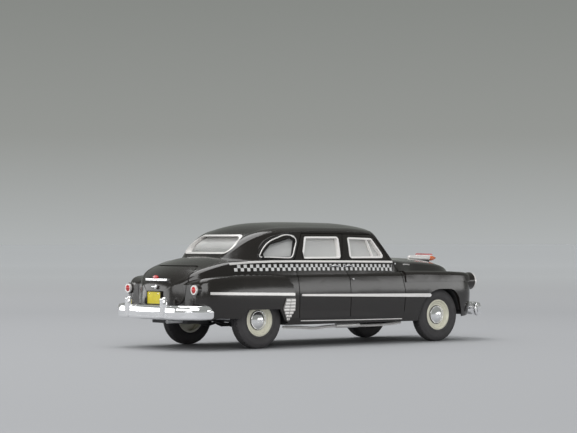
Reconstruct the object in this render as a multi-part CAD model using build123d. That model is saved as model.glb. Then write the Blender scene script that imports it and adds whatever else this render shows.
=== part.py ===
from build123d import *
import os
from functools import cache

# Scale model, 1:43, of a six-window taxi saloon of about 1950. Millimetres, +X forward, +Y left, +Z up.
# Every x below is measured from the middle of the wheelbase. save() moves the finished pieces, so that
# the origin is on the ground under the middle of the overall length.

# Overall
WHEELBASE = 74.4
REAR_OVERHANG = 29.4      # rear axle to the rear face of the rear bumper
FRONT_OVERHANG = 24.8     # front axle to the front face of the front bumper
DOOR_HALF = 21.2          # half-width over the doors
FENDER_PROUD = 0.9        # rear fender beyond the doors
ROOF_TOP = 38.5
WALL = 1.1                # cast body
SEAT_GAP = 0.03           # between pieces that seat on each other

# Heights of the body
SILL_Z = 6.9
SHOULDER_Z = 22.6
BELT_Z = 26.1
RAIL_Z = 35.3

# Wheels
TYRE_R = 8.6
TYRE_WIDTH = 4.2
RIM_R = 4.9
CAP_R = 2.8
FRONT_TRACK = 34.0
REAR_TRACK = 34.9
AXLE_R = 0.9
AXLE_PLAY = 0.06          # radial, between an axle rod and its bearings
ARCH_GAP = 1.1            # tyre to wheel housing
HUB_FACE = 0.9            # outer face of the wheel disc, beyond the middle of the tyre
AXLE_Z = TYRE_R

# Crease along the front fender
CREASE_Z = 19.4
CROWN_PROUD = 0.35
CROWN_BACK = 16.2         # behind the front axle, at the door's front edge

# Panel lines
GROOVE = 0.26
GROOVE_DEPTH = 0.3

# Bright trim
TRIM_PROUD = 0.3
FRAME_WIDTH = 0.55
BAR_WIDTH = 0.6            # belt moulding
BUMPER_THICK = 0.9
BUMPER_HEIGHT = 3.1
BUMPER_ROUND = 0.75       # long edges of the bar
BUMPER_END = 1.3          # corners of its ends
REAR_BUMPER_Z = 9.2
FRONT_BUMPER_Z = 8.6
REAR_GUARD_Y = 9.0
FRONT_GUARD_Y = 6.5
GUARD_HALF = 0.8
GUARD_ROUND = 0.45

# Lamps
LAMP_R = 2.7
LAMP_RIM = 0.45
HEADLAMP_Y = 15.9
HEADLAMP_Z = 19.3
TAIL_LAMP_R = 1.4
TAIL_LAMP_RIM = 0.35
TAIL_LAMP_Y = 16.9
TAIL_LAMP_Z = 18.0
TAIL_POD = 6.0

# Base plate and interior
PLATE = 1.0
PLATE_RAISE = 3.1         # over the axles
HOUSING_WALL = 0.6
TUB_WALL = 0.8
TUB_HALF = 18.0
TUB_REAR_HALF = 13.2
TUB_TOP = 25.0
DASH_DEEP = 3.2
GLASS = 0.6
SHAFT_R = 0.6             # propeller shaft
SCREW_R = 0.85            # plinth screws
SCREW_SPACING = 40.0

FRONT_AXLE_X = WHEELBASE / 2
REAR_AXLE_X = -WHEELBASE / 2
REAR_END = REAR_AXLE_X - REAR_OVERHANG
FRONT_END = FRONT_AXLE_X + FRONT_OVERHANG
ORIGIN_X = (REAR_END + FRONT_END) / 2
T = REAR_AXLE_X
N = FRONT_AXLE_X
HEAD_FACE = N + 16.8
TAIL_FACE = T - 22.6
TUB_FRONT = N - 21.4


def section(x, foot, steps, crown_z):
    """A closed wire across the body at x, the same on both sides. foot is its lowest corner (y, z), each
    step up the left side is an arc through a middle point to its end, and one last arc crowns it."""
    left = []
    at = foot
    for middle, end in steps:
        left.append((at, middle, end))
        at = end
    edges = [ThreePointArc((x, a[0], a[1]), (x, m[0], m[1]), (x, b[0], b[1])) for a, m, b in left]
    edges.append(ThreePointArc((x, at[0], at[1]), (x, 0, crown_z), (x, -at[0], at[1])))
    edges += [ThreePointArc((x, -b[0], b[1]), (x, -m[0], m[1]), (x, -a[0], a[1])) for a, m, b in reversed(left)]
    edges.append(Line((x, -foot[0], foot[1]), (x, foot[0], foot[1])))
    return Wire(edges)


def slopes(xs, values):
    """Slopes of a smooth curve through the values that never runs past them."""
    steps = [(b - a) / (x1 - x0) for x0, x1, a, b in zip(xs, xs[1:], values, values[1:])]
    inner = [0 if a * b <= 0 else 2 * a * b / (a + b) for a, b in zip(steps, steps[1:])]
    return [steps[0]] + inner + [steps[-1]]


def stations(table):
    """The rows of a table with evenly spaced rows between them, on smooth curves through each column."""
    xs = [row[0] for row in table]
    columns = list(zip(*table))[1:]
    leans = [slopes(xs, column) for column in columns]
    rows = []
    for i, (x0, x1) in enumerate(zip(xs, xs[1:])):
        span = x1 - x0
        count = max(1, round(span / STATION_STEP))
        for k in range(count):
            t = k / count
            row = [x0 + span * t]
            for column, lean in zip(columns, leans):
                start = (2 * t + 1) * (1 - t) ** 2 * column[i] + t * (1 - t) ** 2 * span * lean[i]
                end = t ** 2 * (3 - 2 * t) * column[i + 1] - t ** 2 * (1 - t) * span * lean[i + 1]
                row.append(start + end)
            rows.append(tuple(row))
    return rows + [table[-1]]


def drawn_in(x, first, last, inset):
    """The place of a station once both ends of a loft are drawn in by inset."""
    end = first if x < 0 else last
    return x * (1 - inset / abs(end))


# Lower body, sill to shoulder: x, half-width, sill z, tuck of the sill, shoulder z, dip of the deck
LOWER = [
    (T - 22.5, DOOR_HALF - 6.2, 11.2, 0.8, 19.4, 0.1),
    (T - 21.9, DOOR_HALF - 4.4, 10.3, 1.0, 20.2, 0.2),
    (T - 20.4, DOOR_HALF - 2.8, 9.5, 1.2, 21.0, 0.3),
    (T - 17.0, DOOR_HALF - 1.4, 9.0, 1.3, 21.7, 0.5),
    (T - 7.0, DOOR_HALF - 0.5, 8.2, 1.3, 22.2, 0.5),
    (T + 13.0, DOOR_HALF - 0.1, SILL_Z, 1.3, SHOULDER_Z, 0.3),
    (0, DOOR_HALF, SILL_Z, 1.3, SHOULDER_Z, 0.2),
    (N - 17.0, DOOR_HALF - 0.1, SILL_Z, 1.3, SHOULDER_Z, 0.5),
    (N, DOOR_HALF - 0.6, 7.1, 1.3, SHOULDER_Z - 0.2, 1.0),
    (N + 10.0, DOOR_HALF - 1.6, 7.8, 1.2, SHOULDER_Z - 0.6, 1.2),
    (N + 14.6, DOOR_HALF - 2.9, 8.2, 1.2, SHOULDER_Z - 1.2, 1.0),
    (N + 16.2, DOOR_HALF - 4.8, 8.8, 1.2, SHOULDER_Z - 2.2, 0.6),
]

# Rear fender: x, half-width, sill z, shoulder z
FENDER_HALF = DOOR_HALF + FENDER_PROUD
FENDER = [
    (T - 22.4, FENDER_HALF - 5.4, 10.8, 19.0),
    (T - 21.8, FENDER_HALF - 3.8, 10.0, 20.2),
    (T - 20.2, FENDER_HALF - 2.3, 9.4, 21.2),
    (T - 15.5, FENDER_HALF - 0.9, 9.0, 21.9),
    (T - 8.0, FENDER_HALF - 0.1, 8.6, 22.3),
    (T + 2.0, FENDER_HALF, 8.0, 22.4),
    (T + 13.0, FENDER_HALF - 0.2, 7.2, 22.0),
]

# Upper body, boot, belt and bonnet: x, foot half-width, foot z, belt half-width, belt z, crown z
UPPER = [
    (T - 25.0, 3.6, 13.2, 3.2, 16.6, 17.4),
    (T - 24.4, 8.0, 11.9, 7.2, 18.4, 20.0),
    (T - 23.2, 10.6, 11.0, 9.8, 19.6, 21.8),
    (T - 21.4, 12.8, 10.2, 12.0, 21.0, 23.3),
    (T - 19.2, 14.4, 9.8, 13.5, 22.5, 24.6),
    (T - 16.4, 15.8, 9.4, 14.6, 23.7, 25.8),
    (T - 12.8, 17.0, 9.2, 15.5, 24.8, 26.9),
    (T - 8.8, 18.0, 9.0, 16.5, BELT_Z - 0.4, 27.8),
    (T - 2.8, 19.3, 9.0, 18.1, BELT_Z, 28.4),
    (T + 5.0, 20.3, 9.0, 19.2, BELT_Z + 0.2, 28.6),
    (T + 13.0, 20.7, 9.0, 19.7, BELT_Z + 0.2, 28.6),
    (0, 20.7, 9.0, 19.7, BELT_Z, 28.2),
    (N - 21.0, 20.2, 9.0, 19.1, BELT_Z - 0.2, 27.8),
    (N - 16.0, 19.2, 9.0, 17.8, BELT_Z - 0.4, 27.5),
    (N - 9.0, 17.2, 9.0, 15.0, BELT_Z - 0.8, 27.2),
    (N - 1.0, 15.6, 9.4, 12.8, BELT_Z - 1.2, 26.9),
    (N + 7.0, 13.6, 12.0, 10.6, BELT_Z - 1.9, 26.3),
    (N + 12.0, 11.8, 14.8, 8.8, BELT_Z - 2.8, 25.3),
    (N + 15.0, 10.2, 16.2, 7.2, BELT_Z - 4.0, 24.0),
    (N + 16.8, 8.0, 17.4, 5.6, BELT_Z - 5.8, 22.2),
]

# Roof: x, crown z, rail half-width, rail z, base half-width
ROOF_BASE_Z = 23.0
ROOF = [
    (T - 9.4, 26.6, 9.4, 25.7, 13.0),
    (T - 6.2, 29.4, 11.0, 28.0, 15.6),
    (T - 3.2, 32.3, 12.4, 30.5, 17.1),
    (T + 0.6, 35.1, 13.6, RAIL_Z - 2.5, 18.3),
    (T + 5.2, 37.0, 14.7, RAIL_Z - 0.9, 19.2),
    (T + 11.7, ROOF_TOP - 0.4, 15.4, RAIL_Z - 0.1, 19.9),
    (T + 23.2, ROOF_TOP, 15.6, RAIL_Z + 0.1, 20.1),
    (N - 33.2, ROOF_TOP - 0.2, 15.5, RAIL_Z - 0.1, 20.0),
    (N - 25.2, ROOF_TOP - 0.9, 15.3, RAIL_Z - 0.9, 19.7),
    (N - 19.2, ROOF_TOP - 2.0, 15.0, RAIL_Z - 2.3, 19.2),
    (N - 10.2, ROOF_TOP - 4.0, 14.4, RAIL_Z - 4.3, 18.4),
]
STATION_STEP = 3.6        # widest spacing of the sections that a loft runs through

# The two panes of the windscreen lie in planes through these points, mirrored
SCREEN_FOOT = (N - 19.7, 18.5, BELT_Z + 0.3)
SCREEN_HEAD = (N - 23.9, 15.3, RAIL_Z - 1.7)
SCREEN_NOSE = (N - 12.2, 0, BELT_Z + 1.1)


@cache
def lower_body(inset=0.0, below=0.0):
    wires = []
    for x, half, sill, tuck, shoulder, dip in stations(LOWER):
        half -= inset
        shoulder -= inset
        foot = (half - tuck, sill - below)
        middle = (half, (sill + shoulder) / 2 - 0.4)
        side_top = (half - 0.4, shoulder - 1.2)
        bend = (half - 0.8, shoulder - 0.45)
        crest = (half - 1.6, shoulder)
        at = drawn_in(x, LOWER[0][0], LOWER[-1][0], inset)
        wires.append(section(at, foot, [(middle, side_top), (bend, crest)], shoulder - dip))
    return Solid.make_loft(wires)


@cache
def upper_body(inset=0.0, below=0.0):
    wires = []
    for x, foot_half, foot_z, belt_half, belt_z, crown in stations(UPPER):
        foot = (foot_half - inset, foot_z - below)
        belt = (belt_half - inset, belt_z - inset * 0.6)
        crest = (belt[0] * 0.86, belt[1] + (crown - belt_z) * 0.36)
        side = ((foot[0] + belt[0]) / 2 + 0.5, (foot[1] + belt[1]) / 2)
        bend = ((belt[0] + crest[0]) / 2 + 0.18, (belt[1] + crest[1]) / 2 + 0.18)
        at = drawn_in(x, UPPER[0][0], UPPER[-1][0], inset)
        wires.append(section(at, foot, [(side, belt), (bend, crest)], crown - inset))
    return Solid.make_loft(wires)


def half_space(points, inset):
    """A large block in front of the plane through three points, moved back by inset."""
    a, b, c = [Vector(*p) for p in points]
    normal = (b - a).cross(c - a).normalized()
    if normal.X < 0:
        normal = normal * -1
    plane = Plane(origin=a - normal * inset, z_dir=normal)
    return plane * extrude(Rectangle(200, 200), amount=60)


@cache
def roof_body(inset=0.0):
    wires = []
    for x, crown, rail_half, rail_z, base_half in stations(ROOF):
        foot = (base_half - inset, ROOF_BASE_Z)
        rail = (rail_half - inset, rail_z - inset * 0.4)
        crest = (rail[0] * 0.78, rail[1] + (crown - rail_z) * 0.5)
        side = ((foot[0] + rail[0]) / 2 + 0.35, (foot[1] + rail[1]) / 2)
        bend = ((rail[0] + crest[0]) / 2 + 0.22, (rail[1] + crest[1]) / 2 + 0.26)
        at = drawn_in(x, ROOF[0][0], ROOF[-1][0], inset)
        wires.append(section(at, foot, [(side, rail), (bend, crest)], crown - inset))
    body = Solid.make_loft(wires)
    for side in (1, -1):
        points = [(p[0], p[1] * side, p[2]) for p in (SCREEN_FOOT, SCREEN_HEAD, SCREEN_NOSE)]
        body = body - half_space(points, inset)
    return body


FENDER_EDGE = [
    (T + 9.2, 0),
    (T + 11.7, 11.6),
    (T + 11.7, 15.2),
    (T + 11.3, 19.0),
    (T + 9.4, 21.3),
    (T + 6.0, 23.0),
]
REAR_ARCH = [(T - 8.9, 0), (T - 8.9, 8.7), (T - 6.3, 11.9), (T + 6.0, 11.9), (T + 8.9, 7.6), (T + 9.2, 0)]
ARCH_TOP = 17.0
ARCH_REAR = 9.7           # front wheel opening behind and ahead of the axle
ARCH_FRONT = 11.0

# Windows in side view, outside their frames
QUARTER_WINDOW = [
    (T + 2.5, BELT_Z + 2.8),
    (T + 5.9, RAIL_Z - 3.4),
    (T + 14.5, RAIL_Z - 1.3),
    (T + 16.6, RAIL_Z - 2.5),
    (T + 13.9, BELT_Z + 1.1),
    (T + 2.6, BELT_Z + 0.8),
]
REAR_DOOR_WINDOW = [(T + 19.9, RAIL_Z - 1.4), (-3.6, RAIL_Z - 1.4), (-4.7, BELT_Z + 1), (T + 16.7, BELT_Z + 1)]
FRONT_DOOR_WINDOW = [(0.2, RAIL_Z - 1.6), (N - 26.8, RAIL_Z - 1.9), (N - 22.9, BELT_Z + 1), (-0.9, BELT_Z + 1)]
VENT_DIVIDER = [(N - 29.2, RAIL_Z), (N - 27.6, BELT_Z)]
VENT_BAR = 0.4
WINDOW_CORNER = 0.9
REAR_WINDOW_CORNER = 2.4
SCREEN_CORNER = 0.5

# Rear window and one windscreen pane in front view
REAR_WINDOW = [(-12.7, 28.6), (12.7, 28.6), (10.2, 34.5), (-10.2, 34.5)]
SCREEN_PANE = [(0.45, BELT_Z + 2.0), (16.4, BELT_Z + 1.4), (13.3, RAIL_Z - 1.1), (0.45, RAIL_Z - 0.2)]

# Shut lines in side view
DOOR_FOOT_Z = SILL_Z + 1.2
DOOR_HEAD_Z = RAIL_Z - 0.4
REAR_DOOR_LINE = [(T + 19.1, DOOR_HEAD_Z), (T + 13.5, BELT_Z + 0.3), (T + 14.1, 17.6), (T + 14.5, DOOR_FOOT_Z)]
MIDDLE_LINE = [(-1.4, DOOR_HEAD_Z), (-4.5, BELT_Z + 0.2), (-2.5, 20.7), (-2.1, DOOR_FOOT_Z)]
FRONT_DOOR_LINE = [(N - 21.0, BELT_Z + 0.3), (N - 17.8, 22.9), (N - 16.5, 16.9), (N - 16.6, DOOR_FOOT_Z)]
DOOR_TOP_LINE = [(T + 19.1, DOOR_HEAD_Z), (N - 25.6, DOOR_HEAD_Z - 0.3), (N - 21.0, BELT_Z + 0.3)]
DOOR_FOOT_LINE = [(T + 14.5, DOOR_FOOT_Z), (N - 16.6, DOOR_FOOT_Z)]

# Boot lid, seen from behind
BOOT_LID = [(-11.2, 13.4), (11.2, 13.4), (12.4, 19.0), (11.0, 25.0), (-11.0, 25.0), (-12.4, 19.0)]

# Side trim in side view
BELT_LINE = [
    (T - 9.4, BELT_Z - 0.5),
    (T - 2.8, BELT_Z),
    (T + 5.0, BELT_Z + 0.2),
    (T + 13.0, BELT_Z + 0.2),
    (0, BELT_Z),
    (N - 20.5, BELT_Z - 0.2),
]
FENDER_STRIP = [(T - 19.4, 17.4), (T - 19.4, 16.6), (T + 11.5, 15.9), (T + 11.5, 16.75)]
DOOR_STRIP = [(T + 14.9, 16.3), (T + 14.9, 15.7), (N - 5.6, 14.5), (N - 5.0, 15.1), (N - 5.6, 15.65)]
STONE_GUARD = [(T + 9.4, 7.7), (T + 11.7, 11.6), (T + 11.7, 15.2), (T + 8.0, 15.2), (T + 7.0, 11.9)]


def box(x0, x1, y0, y1, z0, z1):
    return Pos((x0 + x1) / 2, (y0 + y1) / 2, (z0 + z1) / 2) * Box(x1 - x0, y1 - y0, z1 - z0)


def polygon(points, radius=0.0):
    """A flat shape in the XY plane through points, its corners rounded."""
    shape = make_face(Polyline(*points, close=True))
    if radius:
        shape = fillet(shape.vertices(), radius)
    return shape


def side_prism(shape, y0, y1):
    """A shape drawn as (x, z) made solid from y0 to y1."""
    return Pos(0, y1, 0) * Rot(90, 0, 0) * extrude(shape, amount=y1 - y0)


def front_prism(shape, x0, x1):
    """A shape drawn as (y, z) made solid from x0 to x1."""
    return Pos(x0, 0, 0) * Plane.YZ.location * extrude(shape, amount=x1 - x0)


def plan_prism(shape, z0, z1):
    """A shape drawn as (x, y) made solid from z0 to z1."""
    return Pos(0, 0, z0) * extrude(shape, amount=z1 - z0)


def ribbon(points, width):
    return trace(Polyline(*points), width)


def both_sides(shape, y0, y1):
    return side_prism(shape, y0, y1) + side_prism(shape, -y1, -y0)


def flank(side, y0, y1):
    """The range y0 to y1 on the left side, where side is 1, or its mirror on the right."""
    return (y0, y1) if side > 0 else (-y1, -y0)


@cache
def front_crown(inset=0.0):
    """The full upper part of the front fender, which stands a little proud above its crease."""
    band = box(N - CROWN_BACK, N + 20, -30, 30, CREASE_Z, 40)
    return lower_body(inset - CROWN_PROUD) & band


@cache
def fender_loft(inset=0.0, below=0.0):
    wires = []
    for x, half, sill, shoulder in stations(FENDER):
        half -= inset
        shoulder -= inset
        foot = (half - 1.4, sill - below)
        middle = (half, (sill + shoulder) / 2 - 0.3)
        side_top = (half - 0.6, shoulder - 1.7)
        bend = (half - 1.15, shoulder - 0.6)
        crest = (half - 2.3, shoulder)
        at = drawn_in(x, FENDER[0][0], FENDER[-1][0] - 100, inset)
        wires.append(section(at, foot, [(middle, side_top), (bend, crest)], shoulder - 0.6))
    return Solid.make_loft(wires)


@cache
def rear_fender(inset=0.0, below=0.0):
    edge = [(T - 40, 0)] + [(x - inset, z) for x, z in FENDER_EDGE] + [(T - 40, 23.0)]
    return fender_loft(inset, below) & side_prism(polygon(edge, 1.2), -30, 30)


# Rings of the pod behind a headlamp: x, radius, drop below the lamp's middle
LAMP_POD = [(N + 6.0, LAMP_R - 1.0, 0.9), (N + 12.0, LAMP_R - 0.1, 0.3), (HEAD_FACE, LAMP_R + 0.2, 0)]


def lamp_pods():
    """The round ends of the fenders that carry the lamps."""
    pods = []
    for side in (1, -1):
        rings = []
        for x, radius, drop in LAMP_POD:
            at = Plane(origin=(x, side * HEADLAMP_Y, HEADLAMP_Z - drop), z_dir=(1, 0, 0))
            rings.append(Wire([Edge.make_circle(radius, at)]))
        pods.append(Solid.make_loft(rings))
        tail = Pos(TAIL_FACE + TAIL_POD / 2, side * TAIL_LAMP_Y, TAIL_LAMP_Z) * Rot(0, 90, 0)
        pods.append(tail * Cylinder(TAIL_LAMP_R + 0.3, TAIL_POD))
    return pods


def skin(inset=0.0, below=0.0):
    others = [upper_body(inset, below), rear_fender(inset, below), front_crown(inset), roof_body(inset)]
    return lower_body(inset, below) + others


def windows(grow=0.0):
    """The window openings as prisms, side windows left and right, rear window and windscreen."""
    cutters = []
    for outline in (QUARTER_WINDOW, REAR_DOOR_WINDOW, FRONT_DOOR_WINDOW):
        shape = polygon(outline, WINDOW_CORNER)
        if grow:
            shape = offset(shape, grow)
        cutters.append(("side", side_prism(shape, 11, 26)))
        cutters.append(("side", side_prism(shape, -26, -11)))
    shape = polygon(REAR_WINDOW, REAR_WINDOW_CORNER)
    if grow:
        shape = offset(shape, grow)
    cutters.append(("rear", front_prism(shape, T - 14, T + 4)))
    for side in (1, -1):
        shape = polygon([(p[0] * side, p[1]) for p in SCREEN_PANE], SCREEN_CORNER)
        if grow:
            shape = offset(shape, grow)
        cutters.append(("screen", front_prism(shape, N - 28, N - 8)))
    return cutters


def body_shell():
    shell = skin() + lamp_pods()
    cutters = [lower_body(WALL, 8), upper_body(WALL, 8), rear_fender(WALL, 8), roof_body(WALL)]
    shell -= cutters
    cutters = [cutter for _, cutter in windows()] + [grille_opening()]
    for outline in (polygon(REAR_ARCH), front_arch()):
        cutters.append(side_prism(outline, *flank(1, 14, 26)))
        cutters.append(side_prism(outline, *flank(-1, 14, 26)))
    high = SILL_Z + PLATE_RAISE
    for y, x0, x1 in ((REAR_GUARD_Y, REAR_END, T - 19), (FRONT_GUARD_Y, N + 13, FRONT_END)):
        for middle in (y, -y):
            cutters.append(box(x0, x1, middle - 1.0, middle + 1.0, high - 0.2, high + PLATE + 0.2))
    return shell - cutters


def front_arch():
    """The front wheel opening in side view, straighter ahead of the wheel than behind it."""
    low = 0
    rear = N - ARCH_REAR
    front = N + ARCH_FRONT
    edges = [
        Line((rear, low), (rear, 8.0)),
        ThreePointArc((rear, 8.0), (N - ARCH_REAR * 0.68, 14.7), (N, ARCH_TOP)),
        Line((N, ARCH_TOP), (N + 3.6, ARCH_TOP)),
        ThreePointArc((N + 3.6, ARCH_TOP), (N + 7.2, ARCH_TOP - 1.3), (N + 9.0, ARCH_TOP - 4.2)),
        Line((N + 9.0, ARCH_TOP - 4.2), (front, 8.0)),
        Line((front, 8.0), (front, low)),
        Line((front, low), (rear, low)),
    ]
    return make_face(edges)


GRILLE_OUTLINE = [(-9.6, 11.2), (9.6, 11.2), (10.6, 16.6), (-10.6, 16.6)]
GRILLE_CORNER = 1.6


def grille_opening():
    return front_prism(polygon(GRILLE_OUTLINE, GRILLE_CORNER), N + 11, N + 24)


def shut_lines(shell):
    lines = []
    for points in (REAR_DOOR_LINE, MIDDLE_LINE, FRONT_DOOR_LINE, DOOR_TOP_LINE, DOOR_FOOT_LINE):
        lines.append(both_sides(ribbon(points, GROOVE), 12, 26))
    lid = polygon(BOOT_LID, 2.4)
    lines.append(front_prism(offset(lid, GROOVE / 2) - offset(lid, -GROOVE / 2), T - 30, T - 14.0))
    core = skin(GROOVE_DEPTH, 2)
    return shell - [line - core for line in lines]


def window_frames(kind, side=0):
    """Bright rims standing in the window openings, flush inside and a little proud outside."""
    band = roof_body(-0.15) - roof_body(WALL)
    pieces = []
    for (sort, outer), (_, inner) in zip(windows(), windows(-FRAME_WIDTH)):
        if sort != kind:
            continue
        if side and outer.center().Y * side < 0:
            continue
        pieces.append((outer - inner) & band)
        if kind == "side":
            front_door = outer
    if kind == "side":
        bar = side_prism(ribbon(VENT_DIVIDER, VENT_BAR), *flank(side, 11, 26))
        pieces[-1] += bar & front_door & (roof_body(0.1) - roof_body(WALL - 0.2))
    return Compound([s for p in pieces for s in p.solids()])


def glazing():
    outer = roof_body(WALL + SEAT_GAP)
    inner = roof_body(WALL + SEAT_GAP + GLASS)
    return (outer - inner) & box(-60, 40, -30, 30, BELT_Z + 0.3, RAIL_Z - 0.6)


def belt_moulding(side):
    rod = side_prism(ribbon(BELT_LINE, BAR_WIDTH), *flank(side, 14, 26))
    return (rod & upper_body(-TRIM_PROUD)) - upper_body() - roof_body()


def side_strips(side):
    reach = flank(side, 14, 26)
    fender = (side_prism(polygon(FENDER_STRIP), *reach) & fender_loft(-TRIM_PROUD)) - fender_loft()
    door = (side_prism(polygon(DOOR_STRIP), *reach) & lower_body(-TRIM_PROUD)) - lower_body()
    return Compound(fender.solids() + door.solids())


def stone_guard(side):
    panel = side_prism(polygon(STONE_GUARD, 0.4), *flank(side, 14, 26))
    return (panel & fender_loft(-TRIM_PROUD)) - fender_loft()


def tyre_profile():
    w = TYRE_WIDTH / 2
    side = ThreePointArc((RIM_R, w - 0.35), ((RIM_R + TYRE_R) / 2, w), (TYRE_R - 0.6, w - 0.35))
    shoulder = ThreePointArc((TYRE_R - 0.6, w - 0.35), (TYRE_R - 0.18, w - 0.65), (TYRE_R, w - 1.1))
    tread = Line((TYRE_R, w - 1.1), (TYRE_R, 1.1 - w))
    shoulder_in = ThreePointArc((TYRE_R, 1.1 - w), (TYRE_R - 0.18, 0.65 - w), (TYRE_R - 0.6, 0.35 - w))
    side_in = ThreePointArc((TYRE_R - 0.6, 0.35 - w), ((RIM_R + TYRE_R) / 2, -w), (RIM_R, 0.35 - w))
    bead = Line((RIM_R, 0.35 - w), (RIM_R, w - 0.35))
    return make_face([side, shoulder, tread, shoulder_in, side_in, bead])


def tyre():
    return revolve(tyre_profile(), Axis.Y)


def rim():
    w = TYRE_WIDTH / 2 - 0.35
    points = [
        (AXLE_R, -1.3),
        (AXLE_R + 0.9, -1.3),
        (AXLE_R + 0.9, 0),
        (RIM_R - 0.6, 0),
        (RIM_R - 0.6, -w),
        (RIM_R, -w),
        (RIM_R, w),
        (RIM_R - 0.4, w + 0.15),
        (RIM_R - 0.8, HUB_FACE + 0.35),
        (RIM_R - 1.4, HUB_FACE),
        (AXLE_R, HUB_FACE),
    ]
    return revolve(polygon(points), Axis.Y)


def dome(radius, thick, rise):
    """A round disc standing on z 0 whose top is part of a sphere."""
    ball = (radius ** 2 + rise ** 2) / (2 * rise)
    rod = Pos(0, 0, (thick + rise) / 2) * Cylinder(radius, thick + rise)
    return rod & Pos(0, 0, thick + rise - ball) * Sphere(ball)


def hub_cap():
    return Pos(0, HUB_FACE, 0) * Rot(-90, 0, 0) * dome(CAP_R, 0.25, 0.95)


def at_wheel(piece, axle_x, track, side):
    turn = Rot(0, 0, 0) if side > 0 else Rot(0, 0, 180)
    return Pos(axle_x, side * track / 2, AXLE_Z) * turn * piece


def axle(axle_x, track):
    return Pos(axle_x, 0, AXLE_Z) * Rot(90, 0, 0) * Cylinder(AXLE_R, track + 2 * HUB_FACE)


def wheel_housing(axle_x, track, side):
    inner_y = track / 2 - TYRE_WIDTH / 2 - ARCH_GAP
    radius = TYRE_R + ARCH_GAP
    turn = Rot(90, 0, 0)
    drum = Pos(axle_x, side * (inner_y + 5 - TUB_WALL), AXLE_Z) * turn * Cylinder(radius + HOUSING_WALL, 10)
    room = Pos(axle_x, side * (inner_y + 5), AXLE_Z) * turn * Cylinder(radius, 10)
    return drum, room


def base_plate():
    low = SILL_Z
    high = SILL_Z + PLATE_RAISE
    rear_step = T + TYRE_R + ARCH_GAP + HOUSING_WALL
    front_step = N - TYRE_R - ARCH_GAP - HOUSING_WALL
    plate = box(T - 21.0, rear_step, -25, 25, high, high + PLATE)
    plate += box(rear_step, rear_step + PLATE, -25, 25, low, high + PLATE)
    plate += box(rear_step, front_step, -25, 25, low, low + PLATE)
    plate += box(front_step - PLATE, front_step, -25, 25, low, high + PLATE)
    plate += box(front_step, N + 13.6, -25, 25, high, high + PLATE)
    for axle_x, track in ((N, FRONT_TRACK), (T, REAR_TRACK)):
        for side in (1, -1):
            drum, room = wheel_housing(axle_x, track, side)
            plate += drum & box(-70, 70, -25, 25, high, 30)
            plate -= room
    plate &= lower_body(WALL + SEAT_GAP, 8)
    for axle_x in (N, T):
        for y in (9.0, -9.0):
            plate += box(axle_x - 2.4, axle_x + 2.4, y - 1.2, y + 1.2, AXLE_Z - AXLE_R - 1.0, high)
        plate -= Pos(axle_x, 0, AXLE_Z) * Rot(90, 0, 0) * Cylinder(AXLE_R + AXLE_PLAY, 40)
    plate += box(T - 19.5, T - 11.5, -9.0, 9.0, high - 2.4, high)
    plate += Pos(T, 0, AXLE_Z) * (Sphere(2.3) & box(-3, 3, -3, 3, -3, -AXLE_R - AXLE_PLAY - 0.3))
    shaft_front = N - 12.5
    shaft_z = AXLE_Z - AXLE_R - 1.0
    plate += Pos((T + shaft_front) / 2, 0, shaft_z) * Rot(0, 90, 0) * Cylinder(SHAFT_R, shaft_front - T)
    spring = [
        (T - 10.5, high),
        (T - 9.5, high - 1.2),
        (T, AXLE_Z - AXLE_R - 1.4),
        (T + 8.5, high - 1.6),
        (T + 9.5, high - 3.0),
    ]
    for y in (7.0, -7.0):
        plate += side_prism(ribbon(spring, 0.6), y - 0.7, y + 0.7)
    plate += box(N - 9.0, N - 3.0, -3.2, 3.2, low - 1.6, low)
    plate += Pos(N - 12.5, 0, low) * Rot(0, 90, 0) * (Cylinder(1.9, 7.0) & box(0, 8, -3, 3, -4, 4))
    for x in (-SCREW_SPACING / 2, SCREW_SPACING / 2):
        plate += Pos(x, 0, low - 0.75) * Cylinder(2.2, 1.5)
        plate -= Pos(x, 0, low) * Cylinder(SCREW_R, 8)
    return plate


def interior_tub():
    floor = SILL_Z + PLATE
    rear_floor = floor + PLATE_RAISE
    step = T + TYRE_R + ARCH_GAP + HOUSING_WALL + PLATE + 0.2
    back = T - 5.6
    half = TUB_HALF - TUB_WALL
    rear_half = TUB_REAR_HALF - TUB_WALL
    tub = box(step, TUB_FRONT, -TUB_HALF, TUB_HALF, floor, TUB_TOP)
    tub -= box(step + TUB_WALL, TUB_FRONT - TUB_WALL, -half, half, floor + TUB_WALL, 60)
    tub += box(back, step + TUB_WALL, -TUB_REAR_HALF, TUB_REAR_HALF, rear_floor, TUB_TOP)
    tub -= box(back + TUB_WALL, step + TUB_WALL, -rear_half, rear_half, rear_floor + TUB_WALL, 60)
    return tub


def seat(x, floor, half):
    points = [(0, 0), (9.5, 0), (9.9, 4.6), (2.6, 4.3), (0.6, 14.6), (-1.9, 14.6), (-1.2, 0)]
    shape = Pos(x, floor) * polygon(points, 0.5)
    return side_prism(shape, -half, half)


def dashboard():
    front = TUB_FRONT - TUB_WALL
    half = TUB_HALF - TUB_WALL - 0.1
    points = [(front, 17.5), (front, 24.6), (front - 2.6, 24.0), (front - DASH_DEEP, 21.0), (front - 1.6, 17.5)]
    return side_prism(polygon(points), -half, half)


def steering_wheel():
    tilt = Rot(0, -62, 0)
    ring = Torus(4.4, 0.35)
    hub = Cylinder(0.8, 0.9)
    spokes = Box(8.6, 0.5, 0.4)
    column = Pos(0, 0, -4.0) * Cylinder(0.4, 8.0)
    wheel = Pos(N - 30.4, 7.6, 21.6) * tilt * (ring + hub + spokes + column)
    return wheel - box(TUB_FRONT - TUB_WALL - DASH_DEEP, N, -20, 20, 0, 40)


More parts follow.
